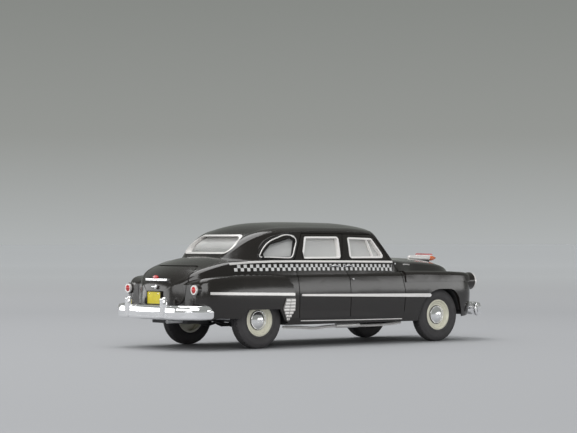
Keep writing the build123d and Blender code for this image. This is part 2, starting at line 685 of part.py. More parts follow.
def bumper(sign, points, z0):
    """A bar bent through points, given from the middle of the car out to its tip. sign is 1 in front."""
    middle, half_way, bend, corner, wrap, tip = points
    inner = (tip[0] - sign * 4, tip[1])
    edges = [
        ThreePointArc((half_way[0], -half_way[1]), middle, half_way),
        ThreePointArc(half_way, bend, corner),
        ThreePointArc(corner, wrap, tip),
        Line(tip, inner),
        Line(inner, (inner[0], -inner[1])),
        Line((inner[0], -inner[1]), (tip[0], -tip[1])),
        ThreePointArc((tip[0], -tip[1]), (wrap[0], -wrap[1]), (corner[0], -corner[1])),
        ThreePointArc((corner[0], -corner[1]), (bend[0], -bend[1]), (half_way[0], -half_way[1])),
    ]
    plan = make_face(edges)
    whole = plan_prism(plan, z0, z0 + BUMPER_HEIGHT)
    arcs = whole.edges().filter_by(GeomType.CIRCLE)
    whole = fillet(arcs, BUMPER_ROUND)
    hollow = plan_prism(offset(plan, -BUMPER_THICK), z0 - 1, z0 + BUMPER_HEIGHT + 1)
    x0, x1 = sorted((tip[0], points[0][0] + sign * 6))
    outline = polygon([(x0, z0), (x1, z0), (x1, z0 + BUMPER_HEIGHT), (x0, z0 + BUMPER_HEIGHT)], BUMPER_END)
    return (whole - hollow) & side_prism(outline, -30, 30)


def guard(x0, x1, y, z0, z1):
    """An upright that stands over a bumper bar."""
    block = box(x0, x1, y - GUARD_HALF, y + GUARD_HALF, z0, z1)
    return fillet(block.edges(), GUARD_ROUND)


REAR_BUMPER = [
    (REAR_END + 0.1, 0),
    (REAR_END + 1.0, 12.5),
    (REAR_END + 2.2, 16.4),
    (REAR_END + 5.0, 19.8),
    (REAR_END + 7.4, 21.0),
    (REAR_END + 10.4, 21.4),
]
FRONT_BUMPER = [
    (FRONT_END - 0.1, 0),
    (FRONT_END - 1.3, 11.0),
    (FRONT_END - 3.0, 15.4),
    (FRONT_END - 5.4, 18.8),
    (FRONT_END - 7.0, 20.0),
    (FRONT_END - 8.8, 20.8),
]


def rear_bumper():
    bar = bumper(-1, REAR_BUMPER, REAR_BUMPER_Z)
    low = SILL_Z + PLATE_RAISE
    for y in (REAR_GUARD_Y, -REAR_GUARD_Y):
        bar += guard(REAR_END, REAR_END + 2.0, y, REAR_BUMPER_Z + 0.3, REAR_BUMPER_Z + 6.4)
        bar += box(REAR_END + 1.0, T - 21.0, y - 0.8, y + 0.8, low, low + PLATE)
    return bar


def front_bumper():
    bar = bumper(1, FRONT_BUMPER, FRONT_BUMPER_Z)
    low = SILL_Z + PLATE_RAISE
    for y in (FRONT_GUARD_Y, -FRONT_GUARD_Y):
        bar += guard(FRONT_END - 2.0, FRONT_END, y, FRONT_BUMPER_Z - 0.2, FRONT_BUMPER_Z + 4.8)
        bar += box(N + 13.6, FRONT_END - 1.0, y - 0.8, y + 0.8, low, low + PLATE)
    return bar


def grille():
    opening = polygon(GRILLE_OUTLINE, GRILLE_CORNER)
    ring = front_prism(opening - offset(opening, -0.6), N + 14.6, N + 17.4)
    room = front_prism(opening, N + 14.8, N + 16.8)
    bars = []
    for z in (12.6, 13.9, 15.2):
        bars.append(box(N + 15.0, N + 16.8, -12, 12, z - 0.25, z + 0.25) & room)
    for step in range(-6, 7):
        y = step * 1.5
        bars.append(box(N + 15.2, N + 16.4, y - 0.15, y + 0.15, 10, 18) & room)
    for bar in bars:
        ring += bar
    return ring


def headlamp(side):
    ring = Cylinder(LAMP_R, 0.8) - Cylinder(LAMP_R - LAMP_RIM, 0.8)
    return Pos(HEAD_FACE + 0.4, side * HEADLAMP_Y, HEADLAMP_Z) * Rot(0, 90, 0) * ring


def headlamp_lens(side):
    return Pos(HEAD_FACE, side * HEADLAMP_Y, HEADLAMP_Z) * Rot(0, 90, 0) * dome(LAMP_R - LAMP_RIM, 0.6, 0.6)


def tail_lamp(side):
    ring = Cylinder(TAIL_LAMP_R, 0.6) - Cylinder(TAIL_LAMP_R - TAIL_LAMP_RIM, 0.6)
    return Pos(TAIL_FACE - 0.3, side * TAIL_LAMP_Y, TAIL_LAMP_Z) * Rot(0, 90, 0) * ring


def tail_lens(side):
    glass = dome(TAIL_LAMP_R - TAIL_LAMP_RIM, 0.5, 0.6)
    return Pos(TAIL_FACE, side * TAIL_LAMP_Y, TAIL_LAMP_Z) * Rot(0, -90, 0) * glass


def door_handles(side):
    handles = []
    for x0, x1 in ((-7.6, -3.9), (-1.7, 1.6)):
        bar = box(x0, x1, side * 21.1 - 0.25, side * 21.1 + 0.25, 24.5, 25.1)
        for x in (x0 + 0.5, x1 - 0.5):
            y0, y1 = sorted((side * 19.0, side * 21.0))
            bar += box(x - 0.25, x + 0.25, y0, y1, 24.6, 25.0)
        handles.append(bar - upper_body() - roof_body())
    return Compound([s for h in handles for s in h.solids()])


def number_plate():
    return box(T - 25.4, T - 24.9, -3.4, 3.4, 13.6, 17.3) - upper_body()


def boot_handle():
    return box(T - 24.6, T - 23.0, -5.4, 5.4, 20.6, 21.2) - upper_body()


def plate_lamp():
    return box(T - 25.6, T - 24.0, -1.2, 1.2, 18.3, 19.2) - upper_body()


def bonnet_ornament():
    points = [(N + 4.2, 26.0), (N + 13.4, 24.4), (N + 15.8, 26.4), (N + 14.6, 27.6), (N + 6.0, 28.0)]
    return side_prism(polygon(points, 0.4), -0.6, 0.6) - upper_body()


def exhaust():
    return Pos(0, -17.0, SILL_Z - 0.5) * Rot(0, 90, 0) * Cylinder(0.5, 46)


def save(piece, node):
    moved = Pos(-ORIGIN_X, 0, 0) * piece
    export_step(moved, f"parts/{node}.step")


def main():
    os.makedirs("parts", exist_ok=True)
    save(shut_lines(body_shell()), "body_shell")
    save(base_plate(), "base_plate")
    save(interior_tub(), "interior_tub")
    save(seat(-8.0, SILL_Z + PLATE + TUB_WALL, TUB_HALF - TUB_WALL - 1.0), "front_seat")
    save(seat(T + 1.2, SILL_Z + PLATE + PLATE_RAISE + TUB_WALL, TUB_REAR_HALF - TUB_WALL - 0.1), "rear_seat")
    save(dashboard(), "dashboard")
    save(steering_wheel(), "steering_wheel")
    save(glazing(), "glazing")
    save(window_frames("rear"), "rear_window_frame")
    save(window_frames("screen"), "windscreen_frame")
    save(front_bumper(), "front_bumper")
    save(rear_bumper(), "rear_bumper")
    save(grille(), "grille")
    save(number_plate(), "number_plate")
    save(plate_lamp(), "plate_lamp")
    save(boot_handle(), "boot_handle")
    save(bonnet_ornament(), "bonnet_ornament")
    save(exhaust(), "exhaust_pipe")
    for side, name in ((1, "left"), (-1, "right")):
        save(window_frames("side", side), f"window_frames_{name}")
        save(belt_moulding(side), f"belt_moulding_{name}")
        save(side_strips(side), f"side_strips_{name}")
        save(stone_guard(side), f"stone_guard_{name}")
        save(door_handles(side), f"door_handles_{name}")
        save(headlamp(side), f"headlamp_{name}")
        save(headlamp_lens(side), f"headlamp_lens_{name}")
        save(tail_lamp(side), f"tail_lamp_{name}")
        save(tail_lens(side), f"tail_lens_{name}")
        for end, axle_x, track in (("front", N, FRONT_TRACK), ("rear", T, REAR_TRACK)):
            save(at_wheel(tyre(), axle_x, track, side), f"tyre_{end}_{name}")
            save(at_wheel(rim(), axle_x, track, side), f"rim_{end}_{name}")
            save(at_wheel(hub_cap(), axle_x, track, side), f"hub_cap_{end}_{name}")
    save(axle(N, FRONT_TRACK), "front_axle")
    save(axle(T, REAR_TRACK), "rear_axle")


if __name__ == "__main__":
    main()
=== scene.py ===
"""Dresses the CAD frame of a 1:43 die-cast taxi saloon: finishes, fine trim, tyres and studio."""

import math

import bmesh
import bpy
from bpy.props import FloatProperty, IntProperty, PointerProperty, StringProperty
from mathutils import Matrix, Vector
from mathutils.bvhtree import BVHTree


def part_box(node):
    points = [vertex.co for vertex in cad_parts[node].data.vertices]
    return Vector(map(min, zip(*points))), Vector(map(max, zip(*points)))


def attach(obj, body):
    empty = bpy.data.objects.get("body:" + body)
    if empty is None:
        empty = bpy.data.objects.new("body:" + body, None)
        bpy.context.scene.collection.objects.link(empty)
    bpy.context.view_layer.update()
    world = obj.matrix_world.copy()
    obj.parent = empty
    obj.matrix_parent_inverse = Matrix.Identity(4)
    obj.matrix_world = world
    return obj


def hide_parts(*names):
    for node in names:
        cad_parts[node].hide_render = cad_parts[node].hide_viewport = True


bl_info = {
    "name": "Model Taxi Saloon",
    "version": (1, 0, 0),
    "blender": (4, 5, 0),
    "location": "3D View > Sidebar > Taxi",
    "description": "Finishes and fine trim of a small die-cast taxi saloon",
    "category": "Object",
}

MM = 0.001
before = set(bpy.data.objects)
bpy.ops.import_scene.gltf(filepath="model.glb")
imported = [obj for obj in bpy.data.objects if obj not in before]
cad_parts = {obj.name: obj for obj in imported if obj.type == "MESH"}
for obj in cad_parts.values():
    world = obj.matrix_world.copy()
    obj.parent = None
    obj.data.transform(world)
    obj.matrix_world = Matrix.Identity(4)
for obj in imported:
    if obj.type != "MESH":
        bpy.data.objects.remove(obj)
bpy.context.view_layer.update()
SIDES = (("left", 1), ("right", -1))
ENDS = ("front", "rear")


class TaxiSizes(bpy.types.PropertyGroup):
    square_wide: FloatProperty(
        name="Square width",
        description="Width of one square of the checker band",
        default=1.03 * MM,
        unit="LENGTH",
    )
    square_high: FloatProperty(
        name="Square height",
        description="Height of one square of the checker band",
        default=1.0 * MM,
        unit="LENGTH",
    )
    band_foot: FloatProperty(
        name="Band foot",
        description="How far below the belt line the checker band ends",
        default=2.8 * MM,
        unit="LENGTH",
    )
    band_rear: FloatProperty(
        name="Band rear end",
        description="Place of the rear end of the checker band along the car",
        default=-43.0 * MM,
        unit="LENGTH",
    )
    band_front: FloatProperty(
        name="Band front end",
        description="Place of the front end of the checker band along the car",
        default=18.7 * MM,
        unit="LENGTH",
    )
    tread_depth: FloatProperty(
        name="Tread depth",
        description="Depth of the grooves round a tyre",
        default=0.24 * MM,
        unit="LENGTH",
    )
    tread_blocks: IntProperty(
        name="Tread blocks",
        description="Shoulder blocks round one tyre, times two",
        default=96,
        min=24,
        max=160,
    )
    drip_wire: FloatProperty(
        name="Drip rail wire",
        description="Thickness of the drip rail over the doors",
        default=0.36 * MM,
        unit="LENGTH",
    )
    wiper_wire: FloatProperty(
        name="Wiper wire",
        description="Thickness of a wiper arm",
        default=0.3 * MM,
        unit="LENGTH",
    )


class TaxiColours(bpy.types.PropertyGroup):
    body: StringProperty(name="Body", description="Gloss enamel of the body", default="#211D1B")
    squares: StringProperty(name="Squares", description="Printed squares of the band", default="#E9E9E7")
    tyre: StringProperty(name="Tyre", description="Tyre rubber", default="#434142")
    rim: StringProperty(name="Rim", description="Painted wheel", default="#EFECD8")
    beige: StringProperty(name="Cabin", description="Moulded cabin", default="#DAD2C2")
    seats: StringProperty(name="Seats", description="Seat covers", default="#D6CAB2")
    plate: StringProperty(name="Plate", description="Number plate", default="#F0DC12")
    red: StringProperty(name="Lamps", description="Tail lamp plastic", default="#CC2427")
    orange: StringProperty(name="Ornament nose", description="Front of the ornament", default="#E2713A")
    base: StringProperty(name="Base", description="Base plate", default="#2A2A2B")


def linear(code):
    """Linear colour of an sRGB hex value."""
    values = [int(code[i:i + 2], 16) / 255 for i in (1, 3, 5)]
    return tuple(v / 12.92 if v <= 0.04045 else ((v + 0.055) / 1.055) ** 2.4 for v in values) + (1.0,)


def add(tree, kind, inputs=None, **settings):
    """Adds a node with its settings. An input is a value, or another node's output to link."""
    made = tree.nodes.new("ShaderNode" + kind)
    for key, value in settings.items():
        setattr(made, key, value)
    for key, value in (inputs or {}).items():
        if isinstance(value, bpy.types.NodeSocket):
            tree.links.new(value, made.inputs[key])
        else:
            made.inputs[key].default_value = value
    return made


def finish(name, inputs):
    """A new material with one shader. Returns it, its tree, the shader and the place on the object."""
    material = bpy.data.materials.new(name)
    material.use_nodes = True
    tree = material.node_tree
    tree.nodes.clear()
    shader = add(tree, "BsdfPrincipled", inputs)
    add(tree, "OutputMaterial", {"Surface": shader.outputs[0]})
    place = add(tree, "TexCoord").outputs["Object"]
    return material, tree, shader, place


def roughen(tree, shader, place, low, high, size):
    """Lets the roughness wander between low and high, in patches of that size."""
    noise = add(tree, "TexNoise", {"Vector": place, "Scale": 1 / size, "Detail": 3.0})
    spread = add(tree, "MapRange", {"Value": noise.outputs["Fac"], "To Min": low, "To Max": high})
    tree.links.new(spread.outputs["Result"], shader.inputs["Roughness"])


def grain(tree, shader, place, size, depth):
    """A fine bumpy surface whose grain has that size and depth."""
    noise = add(tree, "TexNoise", {"Vector": place, "Scale": 1 / size, "Detail": 4.0, "Roughness": 0.6})
    bump = add(tree, "Bump", {"Height": noise.outputs["Fac"], "Strength": 0.6, "Distance": depth})
    tree.links.new(bump.outputs["Normal"], shader.inputs["Normal"])
    return bump


def ribs(tree, place, gap, axis, shape, strength, depth):
    """A bump of straight ribs that stand that far apart along an axis."""
    wave = add(
        tree,
        "TexWave",
        {"Vector": place, "Scale": math.pi / (10 * gap)},
        wave_type="BANDS",
        bands_direction=axis,
        wave_profile=shape,
    )
    return add(tree, "Bump", {"Height": wave.outputs["Fac"], "Strength": strength, "Distance": depth})


def mottle(tree, shader, place, low, high, size):
    """A base colour that wanders between two close shades."""
    noise = add(tree, "TexNoise", {"Vector": place, "Scale": 1 / size, "Detail": 2.0})
    mix = add(tree, "Mix", {"Factor": noise.outputs["Fac"]}, data_type="RGBA")
    mix.inputs[6].default_value = linear(low)
    mix.inputs[7].default_value = linear(high)
    tree.links.new(mix.outputs[2], shader.inputs["Base Color"])
    return mix


def plain(name, inputs, texture, shades=None, gloss=None):
    """A material with a fine grain and, where given, two close shades and a patchy gloss."""
    material, tree, shader, place = finish(name, inputs)
    if shades:
        mottle(tree, shader, place, *shades)
    if gloss:
        roughen(tree, shader, place, *gloss)
    grain(tree, shader, place, *texture)
    return material


def shade(code, factor):
    """The hex colour made lighter or darker."""
    parts = [min(255, round(int(code[i:i + 2], 16) * factor)) for i in (1, 3, 5)]
    return "#%02X%02X%02X" % tuple(parts)


# The band follows the belt line, which falls away from its middle part by a square law towards both ends
BELT_HIGH = 26.25 * MM
BELT_REAR_FROM = -27.7 * MM
BELT_FRONT_FROM = -17.7 * MM
BELT_REAR_FALL = 0.35
BELT_FRONT_FALL = 0.3
BAND_ROWS = 2
# The print is only on the flanks, further out than this
BAND_OUT = 14 * MM
# More squares in each millimetre on the doors than behind them
DOOR_SQUARES = 0.09


def body_enamel(colours):
    """Sprayed gloss enamel on zinc: deep black, a soft orange peel, pad-printed squares on its sides."""
    sizes = bpy.context.scene.taxi_sizes
    inputs = {"Roughness": 0.3, "Coat Weight": 1.0, "Coat Roughness": 0.13, "Coat IOR": 1.45, "IOR": 1.35}
    material, tree, shader, place = finish("gloss black enamel", inputs)
    x, y, z = add(tree, "SeparateXYZ", {0: place}).outputs
    height = z
    for first, second, amount in (
        (BELT_REAR_FROM, x, BELT_REAR_FALL),
        (x, BELT_FRONT_FROM, BELT_FRONT_FALL),
    ):
        past = add(tree, "Math", {0: first, 1: second}, operation="SUBTRACT").outputs[0]
        past = add(tree, "Math", {0: past, 1: 0.0}, operation="MAXIMUM").outputs[0]
        fall = add(tree, "Math", {0: past, 1: 2.0}, operation="POWER").outputs[0]
        fall = add(tree, "Math", {0: fall, 1: amount}, operation="MULTIPLY").outputs[0]
        height = add(tree, "Math", {0: height, 1: fall}, operation="ADD").outputs[0]
    foot = BELT_HIGH - sizes.band_foot
    height = add(tree, "Math", {0: height, 1: foot}, operation="SUBTRACT").outputs[0]
    row = add(tree, "Math", {0: height, 1: sizes.square_high}, operation="DIVIDE").outputs[0]
    along = add(tree, "Math", {0: x, 1: sizes.band_rear}, operation="SUBTRACT").outputs[0]
    column = add(tree, "Math", {0: along, 1: sizes.square_wide}, operation="DIVIDE").outputs[0]
    # The loop ends on the places ahead of the belt's middle part, which are the doors
    extra = add(tree, "Math", {0: past, 1: DOOR_SQUARES / MM}, operation="MULTIPLY").outputs[0]
    column = add(tree, "Math", {0: column, 1: extra}, operation="ADD").outputs[0]
    # The middle number is the same everywhere, so the squares run two ways only
    cell = add(tree, "CombineXYZ", {0: column, 1: 1.5, 2: row})
    checker = add(tree, "TexChecker", {"Vector": cell.outputs[0], "Scale": 1.0})
    checker.inputs["Color1"].default_value = (1, 1, 1, 1)
    checker.inputs["Color2"].default_value = (0, 0, 0, 1)
    inside = checker.outputs["Fac"]
    out = add(tree, "Math", {0: y}, operation="ABSOLUTE").outputs[0]
    for value, limit, operation in (
        (row, 0.0, "GREATER_THAN"),
        (row, float(BAND_ROWS), "LESS_THAN"),
        (x, sizes.band_rear, "GREATER_THAN"),
        (x, sizes.band_front, "LESS_THAN"),
        (out, BAND_OUT, "GREATER_THAN"),
    ):
        test = add(tree, "Math", {0: value, 1: limit}, operation=operation).outputs[0]
        inside = add(tree, "Math", {0: inside, 1: test}, operation="MULTIPLY").outputs[0]
    black = mottle(tree, shader, place, shade(colours.body, 0.92), shade(colours.body, 1.08), 9 * MM)
    printed = add(tree, "Mix", {"Factor": inside, 6: black.outputs[2]}, data_type="RGBA")
    printed.inputs[7].default_value = linear(colours.squares)
    tree.links.new(printed.outputs[2], shader.inputs["Base Color"])
    roughen(tree, shader, place, 0.16, 0.26, 5 * MM)
    grain(tree, shader, place, 0.7 * MM, 0.004 * MM)
    return material


def bright_plate(colours):
    """Vacuum-metallised plastic under clear lacquer: an uneven mirror, a touch milky, with softer patches."""
    inputs = {"Base Color": linear("#FBFBFC"), "Metallic": 0.86, "Roughness": 0.06}
    return plain("metallised chrome", inputs, gloss=(0.03, 0.1, 1.6 * MM), texture=(1.2 * MM, 0.006 * MM))


def silver_print(colours):
    """Silver lacquer on surrounds, strips, lamps, ornament and exhaust: pale and softly reflecting."""
    inputs = {"Metallic": 0.3, "Roughness": 0.3}
    return plain(
        "silver lacquer", inputs,
        shades=("#ECE8E5", "#FBF9F6", 0.9 * MM), texture=(0.35 * MM, 0.006 * MM),
    )


# The frame of the rear quarter window ends here, and that of the rear door begins
QUARTER_END = -17.2 * MM


def framed_print(colours):
    """Silver lacquer on the door windows; the step round the rear quarter glass is left in body black."""
    material, tree, shader, place = finish("silver and black lacquer", {"Roughness": 0.3})
    x = add(tree, "SeparateXYZ", {0: place}).outputs[0]
    ahead = add(tree, "Math", {0: x, 1: QUARTER_END}, operation="GREATER_THAN").outputs[0]
    tone = add(tree, "Mix", {"Factor": ahead, 6: linear("#1D1A19"), 7: linear("#F6F3F0")}, data_type="RGBA")
    tree.links.new(tone.outputs[2], shader.inputs["Base Color"])
    roughen(tree, shader, place, 0.26, 0.36, 1.2 * MM)
    grain(tree, shader, place, 0.35 * MM, 0.006 * MM)
    return material


def tyre_rubber(colours):
    """Soft moulded rubber: matt, dark grey, a shade paler where it has been handled."""
    return plain(
        "moulded rubber", {"Roughness": 0.72, "IOR": 1.52},
        shades=(shade(colours.tyre, 0.85), shade(colours.tyre, 1.2), 2.2 * MM),
        gloss=(0.6, 0.82, 1.5 * MM),
        texture=(0.16 * MM, 0.012 * MM),
    )


def wheel_enamel(colours):
    """Cream enamel on the wheels, with a soft gloss and a faint yellowing."""
    inputs = {"Roughness": 0.3, "Coat Weight": 0.4, "Coat Roughness": 0.12, "IOR": 1.5}
    return plain(
        "cream enamel", inputs,
        shades=(shade(colours.rim, 0.95), shade(colours.rim, 1.03), 1.3 * MM),
        texture=(0.5 * MM, 0.004 * MM),
    )


def cabin_plastic(colours):
    """Injection-moulded ABS of the cabin: pale beige with a spark-eroded texture."""
    return plain(
        "beige ABS", {"Roughness": 0.5, "IOR": 1.53},
        shades=(shade(colours.beige, 0.95), shade(colours.beige, 1.03), 4 * MM),
        gloss=(0.42, 0.6, 2 * MM),
        texture=(0.2 * MM, 0.01 * MM),
    )


def seat_cover(colours):
    """Seats moulded in ABS as pleated covers: upright pleats 1.2 mm apart on a softly grained ground."""
    material, tree, shader, place = finish("pleated seat ABS", {"Roughness": 0.6, "IOR": 1.53})
    mottle(tree, shader, place, shade(colours.seats, 0.92), shade(colours.seats, 1.04), 2.5 * MM)
    bump = ribs(tree, place, 1.2 * MM, "Y", "SIN", 0.8, 0.12 * MM)
    fine = grain(tree, shader, place, 0.18 * MM, 0.01 * MM)
    tree.links.new(bump.outputs["Normal"], fine.inputs["Normal"])
    return material


def wheel_plastic(colours):
    """Black ABS of the steering wheel and the instruments, satin from handling."""
    return plain(
        "satin black ABS", {"Roughness": 0.35, "IOR": 1.53},
        shades=("#1B1A19", "#242221", 1.5 * MM), texture=(0.2 * MM, 0.008 * MM),
    )


def base_plastic(colours):
    """Moulded base plate: dark satin ABS with a coarse texture, a little dust-grey in places."""
    return plain(
        "textured base ABS", {"Roughness": 0.55, "IOR": 1.53},
        shades=(shade(colours.base, 0.85), shade(colours.base, 1.2), 6 * MM),
        gloss=(0.45, 0.7, 3 * MM),
        texture=(0.3 * MM, 0.02 * MM),
    )


# Behind the first place the glazing is as clear as the first share. Ahead of the second only the other share
# is clear, and the rest is painted white as a painted sheen of reflected light
CLEAR_BEHIND, WHITENED_AHEAD = -40 * MM, -36 * MM
CLEAR, WHITENED_SHARE = 0.96, 0.45


def glazing_plastic(colours):
    """Moulded polystyrene windows with a sharp gloss: clear at the rear, and from there forward partly white,
    a painted sheen of reflected light.
    """
    inputs = {"Base Color": linear("#FAFAF8"), "Roughness": 0.03, "IOR": 1.5, "Transmission Weight": 1.0}
    material, tree, shader, place = finish("clear polystyrene", inputs)
    x = add(tree, "SeparateXYZ", {0: place}).outputs[0]
    # Ahead of the rear window part of the glass is painted white, a painted sheen of reflected light
    span = {"From Min": CLEAR_BEHIND, "From Max": WHITENED_AHEAD, "To Min": CLEAR, "To Max": WHITENED_SHARE}
    clear = add(tree, "MapRange", {"Value": x, **span})
    tree.links.new(clear.outputs["Result"], shader.inputs["Transmission Weight"])
    roughen(tree, shader, place, 0.0, 0.05, 6 * MM)
    return material


def lamp_glass(colours):
    """Pressed headlamp glass: upright flutes about 0.6 mm apart over a bright reflector."""
    inputs = {"Base Color": linear("#E4E9EC"), "Roughness": 0.08, "IOR": 1.52, "Metallic": 0.35}
    material, tree, shader, place = finish("fluted lamp glass", {**inputs, "Coat Weight": 1.0})
    bump = ribs(tree, place, 0.6 * MM, "Y", "SIN", 0.9, 0.1 * MM)
    tree.links.new(bump.outputs["Normal"], shader.inputs["Normal"])
    roughen(tree, shader, place, 0.05, 0.14, 1.2 * MM)
    return material


def lamp_plastic(colours):
    """Red polystyrene of tail lamps, fin, badge and fare meter: deep colour, wet gloss, uneven skin."""
    inputs = {"Roughness": 0.12, "IOR": 1.55, "Coat Weight": 1.0, "Coat Roughness": 0.03}
    return plain(
        "red lamp plastic", inputs,
        shades=(shade(colours.red, 0.8), shade(colours.red, 1.15), 0.7 * MM), texture=(0.3 * MM, 0.02 * MM),
    )


def nose_plastic(colours):
    """Transparent orange-red tip of the bonnet ornament."""
    inputs = {"Roughness": 0.18, "IOR": 1.55, "Coat Weight": 0.8}
    return plain(
        "orange tip plastic", inputs,
        shades=(shade(colours.orange, 0.88), shade(colours.orange, 1.12), 0.8 * MM),
        texture=(0.3 * MM, 0.01 * MM),
    )


def plate_print(colours):
    """Yellow printed plate with a satin face."""
    return plain(
        "yellow plate print", {"Roughness": 0.38, "IOR": 1.5},
        shades=(shade(colours.plate, 0.93), shade(colours.plate, 1.05), 1.1 * MM),
        texture=(0.25 * MM, 0.006 * MM),
    )


def axle_steel(colours):
    """Drawn steel wire of the axles: grey, satin, a little uneven."""
    inputs = {"Base Color": linear("#A9A9AB"), "Metallic": 1.0, "Roughness": 0.3}
    return plain("drawn steel", inputs, gloss=(0.22, 0.42, 0.8 * MM), texture=(0.2 * MM, 0.006 * MM))


def pipe_paint(colours):
    """Aluminium paint of the tail pipe: grainy, dull silver, greyer in patches."""
    return plain(
        "aluminium paint", {"Metallic": 0.5, "Roughness": 0.4},
        shades=("#D2D2D3", "#F0F0F0", 1.2 * MM), texture=(0.22 * MM, 0.012 * MM),
    )


def dark_lacquer(colours):
    """Black satin lacquer of small fittings: plate surround, rubbers, bracket; also the painted shadows
    behind the door handles and round the hub caps.
    """
    return plain(
        "black satin lacquer", {"Roughness": 0.45, "IOR": 1.5},
        shades=("#161616", "#222122", 1.2 * MM), texture=(0.2 * MM, 0.008 * MM),
    )


def guard_plate(colours):
    """Ground of the stone guard, seen between its pads: grey lacquer over moulded ribs 0.9 mm apart."""
    material, tree, shader, place = finish("ribbed silver lacquer", {"Metallic": 0.3, "Roughness": 0.34})
    mottle(tree, shader, place, "#8F8D8B", "#A5A3A0", 0.8 * MM)
    bump = ribs(tree, place, 0.9 * MM, "Z", "SAW", 1.0, 0.2 * MM)
    tree.links.new(bump.outputs["Normal"], shader.inputs["Normal"])
    return material


# Every finish, and the CAD nodes that are made of it, by how their names begin
FINISHES = {
    "body": (body_enamel, "body_shell"),
    "bright": (bright_plate, "door_handles front_bumper rear_bumper grille plate_lamp boot_handle hub_cap"),
    "silver": (
        silver_print,
        "rear_window_frame windscreen_frame belt_moulding side_strips bonnet_ornament "
        "headlamp tail_lamp"
    ),
    "framed": (framed_print, "window_frames"),
    "tyre": (tyre_rubber, "tyre"),
    "rim": (wheel_enamel, "rim"),
    "cabin": (cabin_plastic, "interior_tub dashboard"),
    "seat": (seat_cover, "front_seat rear_seat"),
    "wheel": (wheel_plastic, "steering_wheel"),
    "base": (base_plastic, "base_plate"),
    "glazing": (glazing_plastic, "glazing"),
    "lamp": (lamp_glass, "headlamp_lens"),
    "red": (lamp_plastic, "tail_lens"),
    "orange": (nose_plastic, ""),
    "plate": (plate_print, "number_plate"),
    "steel": (axle_steel, "front_axle rear_axle"),
    "pipe": (pipe_paint, "exhaust_pipe"),
    "dark": (dark_lacquer, ""),
    "guard": (guard_plate, "stone_guard"),
}
NODE_FINISH = {node: kind for kind, (_, nodes) in FINISHES.items() for node in nodes.split()}
MADE = {}


def material_of(kind):
    """The one material of that finish, made when it is first asked for."""
    if kind not in MADE:
        MADE[kind] = FINISHES[kind][0](bpy.context.scene.taxi_colours)
    return MADE[kind]


def keep(mesh, name, kind, body="car", smooth=35.0):
    """Turns a bmesh into a finished piece that rides on a body."""
    bmesh.ops.remove_doubles(mesh, verts=mesh.verts, dist=0.001 * MM)
    limit = math.radians(smooth)
    for face in mesh.faces:
        face.smooth = True
    for edge in mesh.edges:
        edge.smooth = len(edge.link_faces) == 2 and edge.calc_face_angle(0.0) < limit
    data = bpy.data.meshes.new(name)
    mesh.to_mesh(data)
    mesh.free()
    piece = bpy.data.objects.new(name, data)
    bpy.context.scene.collection.objects.link(piece)
    data.materials.append(material_of(kind))
    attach(piece, body)
    return piece


def lathe(profile, steps=64):
    """A closed ring turned about the Y axis from (radius, y) points, in millimetres."""
    mesh = bmesh.new()
    verts = [mesh.verts.new((radius * MM, y * MM, 0)) for radius, y in profile]
    edges = [mesh.edges.new((a, b)) for a, b in zip(verts, verts[1:] + verts[:1])]
    bmesh.ops.spin(
        mesh,
        geom=verts + edges,
        cent=(0, 0, 0),
        axis=(0, 1, 0),
        angle=math.tau,
        steps=steps,
        use_merge=True,
    )
    bmesh.ops.remove_doubles(mesh, verts=mesh.verts, dist=0.001 * MM)
    bmesh.ops.recalc_face_normals(mesh, faces=mesh.faces)
    return mesh


def soften(mesh, round_by, segments):
    """Rounds every edge of a bmesh by so many millimetres."""
    bmesh.ops.bevel(
        mesh,
        geom=mesh.edges[:],
        offset=round_by * MM,
        affect="EDGES",
        segments=segments,
        profile=0.5,
        material=-1,
    )


def block(low, high, round_by, segments=3):
    """A box between two corners in millimetres, its edges rounded."""
    mesh = bmesh.new()
    bmesh.ops.create_cube(mesh, size=1.0)
    size = [b - a for a, b in zip(low, high)]
    middle = [(a + b) / 2 for a, b in zip(low, high)]
    bmesh.ops.scale(mesh, vec=Vector(size) * MM, verts=mesh.verts)
    bmesh.ops.translate(mesh, vec=Vector(middle) * MM, verts=mesh.verts)
    soften(mesh, round_by, segments)
    return mesh


def slab(outline, y0, y1, round_by=0.0):
    """A plate cut from an (x, z) outline in millimetres, from y0 to y1."""
    mesh = bmesh.new()
    face = mesh.faces.new([mesh.verts.new((x * MM, y0 * MM, z * MM)) for x, z in outline])
    made = bmesh.ops.extrude_face_region(mesh, geom=[face])
    top = [v for v in made["geom"] if isinstance(v, bmesh.types.BMVert)]
    bmesh.ops.translate(mesh, vec=(0, (y1 - y0) * MM, 0), verts=top)
    bmesh.ops.recalc_face_normals(mesh, faces=mesh.faces)
    if round_by:
        soften(mesh, round_by, 2)
    return mesh


def tube(points, thickness, name, closed=False):
    """A bmesh of a round wire along a smooth line through points, in metres."""
    curve = bpy.data.curves.new(name, "CURVE")
    curve.dimensions = "3D"
    curve.bevel_depth = thickness / 2
    curve.bevel_resolution = 3
    curve.use_fill_caps = True
    spline = curve.splines.new("BEZIER")
    spline.use_cyclic_u = closed
    spline.bezier_points.add(len(points) - 1)
    for knot, point in zip(spline.bezier_points, points):
        knot.co = point
        knot.handle_left_type = "AUTO"
        knot.handle_right_type = "AUTO"
    holder = bpy.data.objects.new(name, curve)
    data = bpy.data.meshes.new_from_object(holder)
    mesh = bmesh.new()
    mesh.from_mesh(data)
    bpy.data.objects.remove(holder)
    bpy.data.curves.remove(curve)
    bpy.data.meshes.remove(data)
    bmesh.ops.remove_doubles(mesh, verts=mesh.verts, dist=0.001 * MM)
    bmesh.ops.recalc_face_normals(mesh, faces=mesh.faces)
    return mesh


def turn_to(mesh, direction, point):
    """Turns a mesh whose axis is +Y to a direction, and puts it at a point."""
    turn = Vector((0, 1, 0)).rotation_difference(Vector(direction)).to_matrix()
    bmesh.ops.rotate(mesh, cent=(0, 0, 0), matrix=turn, verts=mesh.verts)
    bmesh.ops.translate(mesh, vec=point, verts=mesh.verts)
    return mesh


